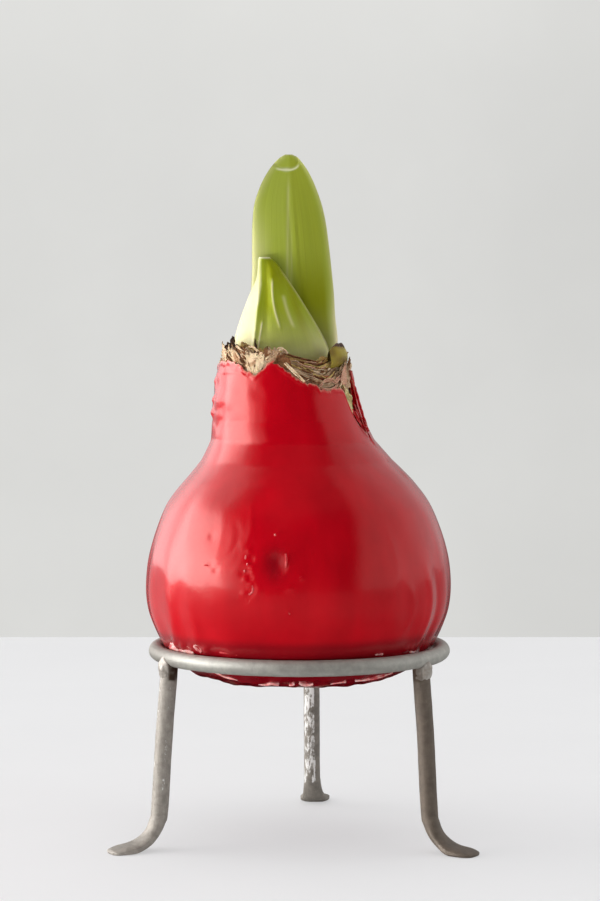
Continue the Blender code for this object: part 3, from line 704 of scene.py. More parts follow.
def on_side(turn, height, out_by=0.0):
    """A place on the outside of the bulb's belly or underside, and the way outwards there."""
    out = outwards(turn)
    radius = between([(z, r) for r, z in BULB_OUTLINE[2:11]], height / MM)[0] * MM + swelling(turn, height)
    return Vector((0, 0, height)) + out * (radius + out_by), out


def raggedness(turn):
    """How torn the skins are: most at the left, least at the front right where they are smooth."""
    left = bell(turned(turn, 226), 0, 30)
    front_right = bell(turned(turn, 303), 0, 34)
    return 0.65 + 0.35 * left - 0.5 * front_right


def skin_sheet(name, radius, bottom, top, ragged, crumple, seed, thickness, flare):
    """A round skin in the neck. Its radius and its torn top edge change on the way round."""

    def place(u, v):
        turn = 360 * u
        out = outwards(turn)
        torn = raggedness(turn)
        tear = rough(out, 0.10, seed) + 0.8 * rough(out, 0.04, seed + 1) + 0.5 * rough(out, 0.017, seed + 2)
        height = bottom + (top(turn % 360) + ragged * torn * tear * ease(v, 0.2, 1.0) - bottom) * v
        point = Vector((lean(height), 0, height)) + out * (radius(turn % 360, height) + flare * v * v)
        fold = crumple * torn * (rough(point, 0.0055, seed + 3) + 0.6 * rough(point, 0.0022, seed + 4))
        return AXIS + point + out * fold * (0.25 + 0.75 * v)

    skin = sheet(name, *GRIDS["skin"], place)
    thicken(skin, thickness)
    paint(skin, "tip", lambda co: tip_darkness(co, top, seed))
    return skin


def tip_darkness(co, top, seed):
    """Dry brown at the torn tips, most of all at the left."""
    point = co - AXIS
    turn = turn_of(point, NECK_LEAN) % 360
    near = ease(point.z, top(turn) - 2.2 * MM, top(turn) + 1.4 * MM)
    return near * raggedness(turn) * (0.8 + 0.7 * rough(point, 0.003, seed + 8))


# Top of the innermost skin: degrees round the neck and height in millimetres
INNER_TOP = [
    (0, 157.8), (60, 160), (120, 161.4), (180, 162.4), (200, 163), (225, 162.6), (245, 161.4), (262, 160.7),
    (275, 160.1), (285, 159.3), (300, 158.3), (313, 157.8), (322, 159.3), (331, 159), (345, 157.2),
    (360, 157.8),
]
# How far each of the skins outside it ends lower at the front right
RING_DROPS = (6.2, 4.5, 3.1, 2.1, 1.1, 0.0)


def ring_top(drop):
    def top(turn):
        front_right = bell(turned(turn, 308), 0, 36)
        return (between(INNER_TOP, turn)[0] - drop * (0.16 + 0.84 * front_right)) * MM

    return top


def pocket_radius(turn, grow):
    """Radius of the oval space that the leaves stand in."""
    angle = math.radians(turn)
    across = 18.3 * MM + grow
    deep = 13.2 * MM + grow
    return across * deep / math.hypot(deep * math.cos(angle), across * math.sin(angle))


def flap(name, turn, root, height, width, lift, curl, seed, out_by):
    """One torn flap of skin, held at its root and curled over at its tip."""

    def place(u, v):
        narrow = 1 - 0.78 * v ** (1.6 + 0.7 * rough(Vector((seed, v * 3, 0)), 1.0))
        across = (u - 0.5) * width * narrow + 0.25 * width * rough(Vector((seed, v * 2.5, 1)), 1.0) * v
        rise = height * v * (1 + 0.3 * rough(Vector((u * 4, seed, 2)), 1.0) * v)
        level = root + rise * math.cos(curl * v)
        point, out = on_neck(turn + math.degrees(across / (21 * MM)), level, out_by)
        point += out * (lift * v + rise * math.sin(curl * v) * 0.8)
        crease = 0.55 * rough(point, 0.0028, seed) + 0.4 * rough(point, 0.0013, seed + 1)
        return AXIS + point + out * crease * MM

    piece = sheet(name, *GRIDS["flap"], place)
    thicken(piece, 0.28 * MM, 0.0)
    paint(piece, "tip", lambda co: ease(abs(co.z - root), 0.55 * abs(height), 1.1 * abs(height)) * 0.8)
    return piece


def ribbon(name, path, width, twist, seed, thickness=0.25 * MM, taper=0.6, tip=0.3, on=on_neck, torn=1.0):
    """A narrow torn strip along a path of turns, heights and distances outwards, in millimetres."""
    corners = [AXIS + on(turn, height * MM, out_by * MM)[0] for turn, height, out_by in path]
    line = rounded(corners, RIBBON_STEPS + 1)

    def place(u, v):
        middle, i = on_line(line, u * RIBBON_STEPS)
        along = (line[i + 1] - line[i]).normalized()
        out = Vector((middle.x - AXIS.x - lean(middle.z), middle.y - AXIS.y, 0)).normalized()
        roll = twist * (u - 0.5) + 0.9 * torn * rough(Vector((u * 3, seed, 0)), 1.0)
        side = along.cross(out).normalized()
        side.rotate(Matrix.Rotation(roll, 3, along))
        wide = width * (1 - taper + taper * math.sin(math.pi * min(max(u, 0.02), 0.98)) ** 0.7)
        wide *= 1 + 0.5 * torn * rough(Vector((u * 6, seed, v * 2)), 1.0)
        cup = along.cross(side) * width * 0.35 * (1 - 4 * (v - 0.5) ** 2)
        point = middle + side * wide * (v - 0.5) + cup
        return point + out * 0.35 * torn * MM * rough(point, 0.0016, seed)

    strip = sheet(name, RIBBON_STEPS, 6, place)
    thicken(strip, thickness, 0.0)
    paint(strip, "tip", lambda co: tip * (0.8 + 1.2 * rough(co, 0.003, seed)))
    return strip


# Flaps that were seen one by one: turn, root, height, width, lift, curl, how far out, and which skin
SEEN_FLAPS = [
    (203, 156.6, 6.8, 4.6, 0.5, 0.1, 0.2, "pale"), (212, 156.2, 6.2, 5.6, 0.3, 0.1, 0, "pale"),
    (221, 156, 6, 5.4, 0.3, 0.2, 0.2, "pale"), (230, 154.8, 6.6, 5.2, 0.2, 0, 0.1, "pale"),
    (238, 153.6, 6.6, 4.6, 0.3, 0.2, 0.3, "pale"), (246, 152.2, 8.4, 5, 0.2, 0.05, 0.2, "dark"),
    (254, 155, 7.2, 4.6, 0.3, 0.1, 0.2, "dark"), (261, 155.4, 6.4, 9, 0.4, 0.12, 0.3, "brown"),
    (268, 155.4, 5.4, 7, 0.8, 0.45, 0.6, "dark"), (245, 160.4, -6.8, 5.6, 0.7, 0, 0.7, "pale"),
    (248, 159.8, -5.4, 3.6, 0.9, 0.1, 1, "pale"), (241, 160.4, -5, 3.2, 0.5, 0.1, 0.9, "pale"),
    (341, 149, 8, 4.6, 0.4, 0.1, 0.2, "brown"), (349, 150, 7, 5, 0.3, 0.2, 0.1, "pale"),
    (331, 150.2, 6.4, 3.6, 0.5, 0.15, 0.5, "pink"), (338, 150, 7.6, 3.4, 0.4, 0.1, 0.4, "brown"),
    (343, 150.4, 8, 3.6, 0.4, 0.2, 0.3, "dark"), (357, 151.4, 6.6, 5.2, 0.3, 0.1, 0, "dark"),
    (242.5, 159, 5.4, 1.5, 0.2, 0.05, -0.6, "burnt"),
]
# Strips that were seen one by one: their path, width, twist and which skin
SEEN_STRIPS = [
    (((269, 158.3, 0.9), (274, 156.2, 1.8), (280, 153.9, 2), (286, 151.5, 1.9)), 0.9, 0.6, "pale"),
    (((262, 161.3, 0.3), (267, 162, 0.6), (273, 160.4, 0.2)), 1.2, 1.6, "pale"),
    (((252, 156, 0.6), (257, 158.4, 1), (263, 160, 0.8), (270, 160.6, 0.2)), 1.3, 1.2, "brown"),
    (((244, 153, 0.8), (250, 155.6, 1.1), (255, 158.6, 0.9), (258, 160.8, 0.5)), 1.3, 1, "pale"),
    (((246, 153.4, 0.9), (241, 156, 1.1), (236, 158.8, 0.8), (231, 161.6, 0.3)), 1.5, -1.2, "pale"),
    (((250, 154.6, 0.7), (245, 157.2, 1.2), (239, 160, 0.9), (233, 162.4, 0.2)), 1, 1.6, "brown"),
    (((300, 149.4, 0.4), (306, 151.4, 0.9), (313, 151.9, 1), (321, 150.6, 0.6)), 0.9, 0.8, "pink"),
    (((302, 149.2, 0.6), (309, 148.7, 1), (316, 149.2, 0.9), (323, 150.4, 0.5)), 0.7, -0.9, "pink"),
    (((286, 151.3, 0.4), (292, 152.6, 0.6), (299, 151.8, 0.7), (306, 150.6, 0.5)), 1, 1, "brown"),
    (((318, 150.8, 0.5), (326, 152.6, 0.7), (334, 152.2, 0.6), (341, 150, 0.5)), 1.2, 1.3, "pink"),
    (((324, 149.2, 0.5), (330, 151.4, 0.9), (336, 154.4, 0.6), (341, 156.8, 0.2)), 1.3, -1, "pale"),
    (((331, 148.4, 0.4), (334, 151.8, 0.9), (338, 154.6, 0.9), (344, 156, 0.3)), 1.2, 1.5, "pink"),
    (((338, 150.6, 0.4), (343, 153.6, 0.8), (348, 155.8, 0.5)), 1.4, 0.8, "pale"),
    (((328, 154, 0.3), (336, 156, 0.3), (345, 157.4, 0), (354, 158.4, -0.3)), 1.3, 1, "brown"),
    (((204, 158.4, 0.6), (209, 161.2, 0.9), (216, 160.4, 0.9), (224, 158.6, 0.7)), 1.4, 1.6, "pale"),
    (((208, 162.2, 0.3), (213, 159.6, 0.9), (219, 157.8, 0.8), (226, 157.6, 0.6)), 1.2, -1.3, "dark"),
    (((226, 162.4, 0), (233, 160.2, 0.6), (240, 158, 0.8), (246, 156, 0.8)), 1.1, 1.4, "dark"),
    # The next two dark strips are painted shadow: the shade between the leaf base and the layered band at the
    # front right.
    (
        ((264.4, 160.5, -5.5), (274, 160, -5.5), (283, 159.3, -5.4), (301, 158.1, -4.6), (312, 157.5, -3.8)),
        0.5, 0.3, "dark",
    ),
    (((271, 159.2, -4.2), (289.5, 157.6, -4.2), (310.7, 156.8, -3.4), (331, 157, -2.2)), 0.6, 0.4, "dark"),
    (
        ((274, 158.2, -3), (288, 156.2, -2.8), (304, 155, -2.4), (322, 154.8, -1.4), (334, 155, -0.6)),
        0.6, 0.5, "brown",
    ),
    (((284, 153.6, 0.2), (292, 152, 0.5), (303, 151, 0.5), (316, 151.6, 0.6)), 0.6, -0.6, "dark"),
]


# Strips at random: count, first seed, ranges of turn, height, span, fall, jitter, lift and width, and skins
LOOSE_STRIPS = {
    "left": (
        30, 250, (200, 240), (157.6, 163.0), (8, 20), (1.0, 5.5), (-0.4, 0.6), (0.0, 1.1), (0.5, 1.2),
        ("pale", "pale", "pale", "dark", "dark", "dark", "brown"),
    ),
    "front": (
        14, 280, (238, 258), (153.6, 158.6), (6, 14), (-1.0, -3.6), (-0.4, 0.4), (0.6, 1.5), (0.4, 0.9),
        ("pale", "pale", "dark", "dark"),
    ),
    "back": (
        26, 300, (0, 188), (156.5, 161.5), (8, 22), (-2.5, 4.5), (-0.4, 0.6), (-0.2, 0.9), (0.8, 1.8),
        ("pale", "pale", "brown", "brown", "dark"),
    ),
}
STRIP_KNOTS = (0, 0.35, 0.7, 1)


class AMARYLLIS_OT_bulb(bpy.types.Operator):
    """Models the bulb inside the wax, which shows through the tear in its side"""

    bl_idname = "amaryllis.bulb"
    bl_label = "Bulb"

    def execute(self, context):
        profile = rounded([(r * MM, h * MM) for r, h in BULB_OUTLINE], BULB_POINTS)
        inner = []
        for p in profile:
            up = p.y + 2.2 * MM * (1 - ease(p.y, 60 * MM, 75 * MM))
            if up < 154 * MM:
                inner.append(Vector((max(p.x - BODY_INSET, 0), up)))
        rim = pocket_radius(0, 0) - 2 * MM
        inner += [Vector((rim, 154.4 * MM)), Vector((rim * 0.8, POCKET_FLOOR)), Vector((0, POCKET_FLOOR))]

        def place(u, v):
            turn = 360 * u
            here = on_line(inner, v * (len(inner) - 1))[0]
            out = outwards(turn)
            radius = here.x + swelling(turn, here.y) * min(here.x / (20 * MM), 1.0)
            point = Vector((lean(here.y), 0, here.y)) + out * radius
            wrinkle = 0.14 * rough(Vector((turn / 7, here.y / 0.03, 0)), 1.0, 21)
            return AXIS + point + out * wrinkle * min(here.x / (15 * MM), 1.0) * MM

        body = sheet("bulb_body", BULB_COLUMNS, len(inner) - 1, place)
        paint(body, "tip", lambda co: 0.0)
        tones = ((0.10, 0.008, 0.008), (0.26, 0.03, 0.02), (0.42, 0.16, 0.08))
        finish_piece(body, skin_material("inner_skin", tones, (46, 1.5, 1)), "papery_skin", "bulb")
        return {"FINISHED"}


class AMARYLLIS_OT_collar(bpy.types.Operator):
    """Models the layers of dry skin round the leaves, with their torn flaps and strips"""

    bl_idname = "amaryllis.collar"
    bl_label = "Papery collar"

    def execute(self, context):
        look = settings().collar
        pale, ringed, brown, dark = tuple(look.pale), tuple(look.ringed), tuple(look.brown), tuple(look.dark)
        burnt = ((0.006, 0.006, 0.006), (0.02, 0.012, 0.008), (0.09, 0.05, 0.03))
        skins = {
            "pale": skin_material("pale_skin", (brown, shade(pale, 0.8), pale), (9, 40, 1)),
            "brown": skin_material("brown_skin", (dark, brown, shade(pale, 0.8)), (9, 34, 1)),
            "dark": skin_material("dark_skin", (shade(dark, 0.5), dark, brown), (9, 30, 1)),
            "ringed": skin_material("ringed_skin", (brown, ringed, shade(ringed, 1.35)), (2.2, 17, 1)),
            "pink": skin_material("pink_skin", (brown, (0.60, 0.25, 0.17), (0.80, 0.52, 0.38)), (9, 30, 1)),
            "burnt": skin_material("burnt_skin", burnt, (9, 30, 1)),
        }

        def add(piece, skin):
            finish_piece(piece, skins[skin], "papery_skin", "bulb")

        for i, drop in enumerate(RING_DROPS):
            inwards = i / (len(RING_DROPS) - 1)

            def radius(turn, height):
                outer = neck_radius(height) - SKIN_INSET
                return outer * (1 - inwards) + pocket_radius(turn, 0.8 * MM) * inwards

            ring = skin_sheet(
                f"skin_ring_{i + 1}", radius, 146 * MM if i == 0 else 150.5 * MM, ring_top(drop),
                1.5 * MM, 0.7 * MM, 50 + 5 * i, 0.5 * MM, (0.25 - 0.8 * inwards) * MM,
            )
            add(ring, "ringed" if i > 1 else "brown")
        for i, (turn, *sizes, curl, out_by, skin) in enumerate(SEEN_FLAPS):
            sizes = [size * MM for size in sizes]
            add(flap(f"flap_{i + 1}", turn, *sizes, curl, 70 + i, out_by * MM), skin)
        for i, (path, width, twist, skin) in enumerate(SEEN_STRIPS):
            add(ribbon(f"strip_{i + 1}", path, width * MM, twist, 170 + i), skin)
        rng = random.Random(5)
        draw = rng.uniform

        def loose(side):
            """Strips that lie at random in one stretch of the neck."""
            count, seed, turns, heights, spans, falls, jitter, lifts, widths, choice = LOOSE_STRIPS[side]
            for i in range(count):
                turn = draw(*turns)
                height = draw(*heights)
                span = draw(*spans)
                fall = draw(*falls)
                path = []
                for t in STRIP_KNOTS:
                    level = height - fall * t + draw(*jitter)
                    path.append((turn + span * t, level, draw(*lifts)))
                skin = rng.choice(choice)
                width = draw(*widths) * MM
                add(ribbon(f"strip_{side}_{i + 1}", path, width, draw(-2.5, 2.5), seed + i), skin)

        for i in range(7):
            turn = draw(208, 218)
            height = draw(162.4, 164.2)
            path = []
            for _ in range(4):
                there = turn + draw(-4, 4)
                path.append((there, height + draw(-1.4, 1.6), draw(-0.4, 1.2)))
            tuft = ribbon(f"tuft_{i + 1}", path, 0.8 * MM, draw(-5, 5), 230 + i, 0.3 * MM, 0.3, 1.0)
            add(tuft, "burnt")
        loose("left")
        loose("front")
        for i in range(26):
            turn = draw(272, 318)
            drop = draw(0.6, 5.6)
            span = draw(8, 24)
            out_by = -4.4 + 0.75 * drop
            top = ring_top(drop)
            path = []
            for t in STRIP_KNOTS:
                there = turn + span * t
                path.append((there, top(there) / MM - draw(0.1, 0.7), out_by + draw(0.0, 0.3)))
            # The dark strips among them are painted shade in the gaps between the layers.
            skin = rng.choice(("pale", "ringed", "dark", "dark", "brown", "pink"))
            width = draw(0.25, 0.6) * MM
            add(ribbon(f"strip_right_{i + 1}", path, width, draw(-1, 1), 340 + i), skin)
        for i in range(16):
            turn = draw(2, 192)
            sizes = [draw(*size) * MM for size in ((151, 155), (5.5, 8.5), (4.0, 7.5), (0.0, 0.6))]
            curl = draw(-0.1, 0.3)
            piece = flap(f"flap_back_{i + 1}", turn, *sizes, curl, 120 + i, draw(-0.5, 0.3) * MM)
            add(piece, rng.choice(("pale", "brown", "dark")))
        loose("back")
        return {"FINISHED"}


class AMARYLLIS_OT_tear(bpy.types.Operator):
    """Models what shows in the tear of the wax at the right: a pale strip of young leaf base and torn wax"""

    bl_idname = "amaryllis.tear"
    bl_label = "Tear in the wax"

    def execute(self, context):
        tones = ((0.50, 0.42, 0.18), (0.72, 0.64, 0.30), (0.85, 0.78, 0.46))
        pale = skin_material("fresh_strip", tones, (3, 9, 1))
        path = ((334.0, 151.0, 0.2), (334.6, 147.5, 0.4), (335.4, 144.5, 0.5), (337.2, 140.4, 0.3))
        strip = ribbon("fresh_strip", path, 2.7 * MM, 0.1, 401, 0.4 * MM, 0.15, 0.0)
        finish_piece(strip, pale, "papery_skin", "bulb")
        wax = bpy.data.materials["red_wax"]
        torn = [
            (
                (
                    (348, 154.6, 1.3), (352, 149.6, 1.6), (356, 144.6, 1.7), (357.5, 139, 1.8),
                    (355, 134.6, 1.4),
                ),
                1.0,
            ),
            (((336.5, 142, 0.7), (340, 138.8, 0.9), (343, 135.6, 1.0), (345.5, 132.4, 1.3)), 1.6),
            (((340.5, 141.4, 0.6), (343, 138.8, 1.0), (346.5, 137.2, 1.2), (349, 134.6, 1.4)), 1.5),
            (((343, 144, 0.5), (344.5, 141, 0.9), (347.5, 138.4, 1.3), (351, 136.4, 1.4)), 1.2),
        ]
        for i, (path, width) in enumerate(torn):
            piece = ribbon(f"torn_wax_{i + 1}", path, width * MM, 0.8, 411 + i, 0.45 * MM, 0.5, 0.0)
            paint(piece, "edge", lambda co: 0.55 + 0.5 * rough(co, 0.002, 77))
            paint(piece, "stain_and_shade", lambda co: 0.12 + 0.6 * rough(co, 0.0025, 78))
            finish_piece(piece, wax, "wax", "wax_coat")
        return {"FINISHED"}


# The leaves


TALL_FINE = smooth_table(TALL_LEAF, 0.8)
SHORT_FINE = smooth_table(SHORT_LEAF, 0.7)


def tall_edges(height):
    return [value * MM for value in between(TALL_FINE, height / MM)]


def round_section(share, inner_share=0.25):
    """Splits the way round a leaf's section into its inner and its outer face, each from -1 to 1 across."""
    if share < inner_share:
        return -math.cos(math.pi * share / inner_share), False
    return math.cos(math.pi * (share - inner_share) / (1 - inner_share)), True


def lip_line(across):
    """Height of the front leaf's top edge, which rises at the right and runs into the tip at the left."""
    return LIP_HEIGHT + (1.2 if across < 0 else 3.8) * MM * across * across


def tall_blade(name, sign, top_of, seed):
    """One of the pair of tall leaves. sign is 1 for the rear one and -1 for the front one."""
    bottom = TALL_LEAF[0][0] * MM

    def place(u, v):
        across, outer = round_section(u)
        height = bottom + (top_of(across) - bottom) * min(v * 1.01, 1.0)
        left, right = tall_edges(height)
        half = (right - left) / 2
        taper = 1 - (0.78 if sign < 0 else 0.5) * ease(height, top_of(0) - 26 * MM, top_of(0) + 1 * MM)
        fullness = math.sqrt(max(1 - across * across, 0.0))
        groove = 0.13 * bell(across, 0.02, 0.07) + 0.06 * bell(across, 0.22, 0.04)
        groove += 0.10 * bell(across, 0.62, 0.16)
        groove *= ease(height, 156 * MM, 172 * MM) * (1 - ease(height, 212 * MM, 219 * MM))
        bulge = TALL_EDGE + (TALL_DEPTH * taper - TALL_EDGE) * (fullness ** 0.9 - groove)
        y = LEAVES_BACK + sign * 0.2 * MM + (sign * bulge if outer else 0)
        wave = 0.22 * MM * math.sin(height / (21 * MM) + seed) * abs(across) ** 2
        point = Vector(((left + right) / 2 + half * across * (0.99 if outer else 1.0), y + wave, height))
        inside = LEAVES_BACK + sign * (0.2 * MM + 0.45 * bulge)
        point.y += (inside - point.y) * ease(v, 0.985, 1.0)
        if sign > 0 and not outer:
            # The rear leaf comes forward above the front one's top edge, so that the tip reads as one
            above = ease(height, lip_line(across) - 1.4 * MM, lip_line(across) - 0.5 * MM)
            point.y -= 1.06 * MM * above * fullness ** 0.15 * min(half / (1.5 * MM), 1.0)
        if v <= 0.0:
            point = Vector(((left + right) / 2, LEAVES_BACK + sign * 0.8 * MM, height))
        return AXIS + point

    return sheet(name, *GRIDS["tall"], place)


def paint_leaf(obj, pale_and_lit_at, deep_at, lip_at):
    paint(obj, "pale", lambda co: pale_and_lit_at(co - AXIS))
    paint(obj, "deep", lambda co: deep_at(co - AXIS))
    paint(obj, "lip", lambda co: lip_at(co - AXIS))


class AMARYLLIS_OT_tall_leaves(bpy.types.Operator):
    """Models the pair of tall leaves that stand pressed together"""

    bl_idname = "amaryllis.tall_leaves"
    bl_label = "Tall leaves"

    def execute(self, context):
        look = settings().leaves
        material = leaf_material("leaf_green", tuple(look.green), tuple(look.deep), tuple(look.pale))

        def pale_and_lit_at(p):
            left, right = tall_edges(p.z)
            height = p.z / MM
            low = 1 - ease(height, 158, 186)
            # Pale towards the base; the left margin and the left side are paler with painted light from the
            # left, and the two lines below are painted highlights along the grooves.
            margin = 0.42 * bell(p.x, left, 1.6 * MM) + 0.5 * bell(p.x, right, 1.0 * MM)
            lit_left_side = (1 - ease(p.x, left, left + 8 * MM)) * (1 - ease(height, 186, 212)) * 0.42
            line = -3.6 + (height - 180) * 0.012
            crease = bell(p.x / MM, line, 0.42) * ease(height, 176, 184) * (1 - ease(height, 212, 220))
            second = bell(p.x / MM, -2.2, 0.28) * ease(height, 170, 178) * (1 - ease(height, 190, 210))
            right_low = ease(p.x, right - 3.4 * MM, right) * low * 0.5
            lines = 0.22 * crease + 0.16 * second
            return margin * (0.6 + 0.4 * low) + lit_left_side + lines + right_low + 0.3 * low ** 3

        def deep_at(p):
            left, right = tall_edges(p.z)
            height = p.z / MM
            across = (p.x - left) / max(right - left, 1e-6)
            shaded = ease(across, 0.46, 0.62) * (1 - 0.75 * ease(across, 0.86, 0.95))
            return shaded * (0.42 + 0.58 * (1 - ease(height, 176, 196)))

        # A painted highlight along the front leaf's top edge.
        def lip_at(p):
            left, right = tall_edges(p.z)
            across = (p.x - (left + right) / 2) * 2 / max(right - left, 1e-6)
            wide = 0.27 + 0.2 * bell(across, -0.1, 0.22)
            near = bell(p.z, lip_line(across) - 0.8 * MM, wide * MM)
            return 0.85 * near * (1 - ease(abs(across), 0.5, 0.8))

        front = tall_blade("tall_leaf_front", -1, lip_line, 0.4)
        paint_leaf(front, pale_and_lit_at, deep_at, lip_at)
        finish_piece(front, material, "leaf", "leaf_tall_front")
        tip = TALL_LEAF[-1][0] * MM
        back = tall_blade("tall_leaf_back", 1, lambda across: tip, 1.7)
        paint_leaf(back, pale_and_lit_at, deep_at, lip_at)
        finish_piece(back, material, "leaf", "leaf_tall_back")
        return {"FINISHED"}


def crease_line(t, x_low, x_high, bow):
    return x_low + (x_high - x_low) * t + bow * math.sin(math.pi * min(max(t, 0.0), 1.0))


def short_point(u, v):
    """A point of the short leaf, which is wrapped round the front of the pair with a few creases."""
    bottom = SHORT_LEAF[0][0] * MM
    top = SHORT_LEAF[-1][0] * MM
    height = bottom + (top - bottom) * min(v * 1.015, 1.0)
    left, right, middle_depth, bulge = (value * MM for value in between(SHORT_FINE, height / MM))
    half = (right - left) / 2
    middle = (right + left) / 2
    outer = u < SHORT_OUTER
    share = u / SHORT_OUTER if outer else (1 - u) / (1 - SHORT_OUTER)
    angle = math.pi * (1 + share)
    depth = LEAVES_BACK + middle_depth
    point = Vector((middle + half * math.cos(angle), depth + bulge * math.sin(angle), height))
    outward = Vector((math.cos(angle) * bulge, math.sin(angle) * half, 0)).normalized()
    stand = 0.0
    for low, x_low, high, x_high, bow, tall, wide in SHORT_CREASES:
        t = (height / MM - low) / (high - low)
        strength = ease(t, -0.12, 0.12) * (1 - ease(t, 0.9, 1.08))
        aside = abs(point.x / MM - crease_line(t, x_low, x_high, bow)) / wide
        stand += tall * strength * math.exp(-aside ** 1.4)
    facet = -0.5 * bell(point.x / MM, -10.4, 1.3) * ease(height, 160 * MM, 172 * MM)
    point += outward * (stand + facet) * MM
    if not outer:
        point -= outward * SHORT_THICKNESS * (1 - 0.3 * ease(height, 180 * MM, 191 * MM))
    face = tall_front_face(point.x, height)
    point.y = min(point.y, face - (0.35 * MM if not outer else 0.95 * MM))
    closing = ease(v, 0.985, 1.0)
    if closing or v <= 0:
        centre = Vector((point.x, depth + bulge * math.sin(angle) * 0.8, height))
        point = point.lerp(centre, closing)
    if v <= 0:
        point = Vector((middle, depth - bulge * 0.6, height))
    return AXIS + point


def tall_front_face(x, height):
    """Where the front of the tall pair is at that place, or its back beside it."""
    left, right = tall_edges(height)
    half = (right - left) / 2
    across = (x - (left + right) / 2) / half
    if abs(across) > 1 + 0.6 * MM / half:
        return LEAVES_BACK
    fullness = math.sqrt(max(1 - across * across, 0.0))
    return LEAVES_BACK - 0.2 * MM - TALL_EDGE - (TALL_DEPTH - TALL_EDGE) * fullness


class AMARYLLIS_OT_short_leaf(bpy.types.Operator):
    """Models the short leaf in front, wrapped round the tall pair"""

    bl_idname = "amaryllis.short_leaf"
    bl_label = "Short leaf"

    def execute(self, context):
        look = settings().leaves
        green = (look.green[0] * 0.86, look.green[1] * 0.86, look.green[2] * 0.35)
        material = leaf_material("young_leaf_green", green, shade(look.deep, 1.1), tuple(look.pale))
        leaf = sheet("short_leaf", *GRIDS["short"], short_point)
        keel = [(150, -15.2), (165, -14.3), (174, -13.6), (177.5, -12.8), (182.5, -12.1), (192, -12.3)]

        def pale_and_lit_at(p):
            height = p.z / MM
            x = p.x / MM
            edge = between(keel, height)[0]
            # Painted light: the left face is paler where it faces the light at the left.
            lit_left_face = 1 - ease(x, edge - 0.6, edge + 0.6)
            low = 1 - ease(height, 160, 177)
            ridge_highlights = 0.0
            # Painted highlights along the ridges of the creases.
            for base, x_low, high, x_high, bow, _, wide in SHORT_CREASES[1:]:
                t = (height - base) / (high - base)
                along = ease(t, -0.05, 0.15) * (1 - ease(t, 0.85, 1.0))
                spread = 0.3 + 0.4 * (wide - 0.6)
                away = (x - crease_line(t, x_low, x_high, bow)) / spread
                ridge_highlights += along * min(0.5 / wide, 1.0) * bell(away, 0, 1)
            right = between(SHORT_FINE, height)[1]
            margin = bell(x, right, 0.55) * 0.35 * (1 - ease(height, 184, 189))
            lower_right = ease(x, right - 7, right - 2) * (1 - ease(height, 158, 172)) * 0.22
            low = 0.24 * low + 0.26 * (1 - ease(height, 156, 166))
            lit_left_face *= 0.92 * (1 - 0.4 * ease(height, 176, 190))
            return lit_left_face + low + 0.8 * ridge_highlights + margin + lower_right

        def deep_at(p):
            height = p.z / MM
            x = p.x / MM
            # Painted shade in the valley between the creases; darker also at the top and in a stripe at the
            # right.
            top = ease(height, 179, 186) * 0.95 * ease(x, -11.6, -9.4)
            valley = 0.8 * bell(x, -9.8, 1.1) * ease(height, 170, 177)
            stripe = bell(x, 1.6 - (height - 169) * 0.31, 1.5) * ease(height, 160, 170)
            return max(top, valley, stripe)

        paint_leaf(leaf, pale_and_lit_at, deep_at, lambda p: ease(p.z, 190.9 * MM, 191.5 * MM) * 0.95)
        finish_piece(leaf, material, "leaf", "leaf_short")
        return {"FINISHED"}


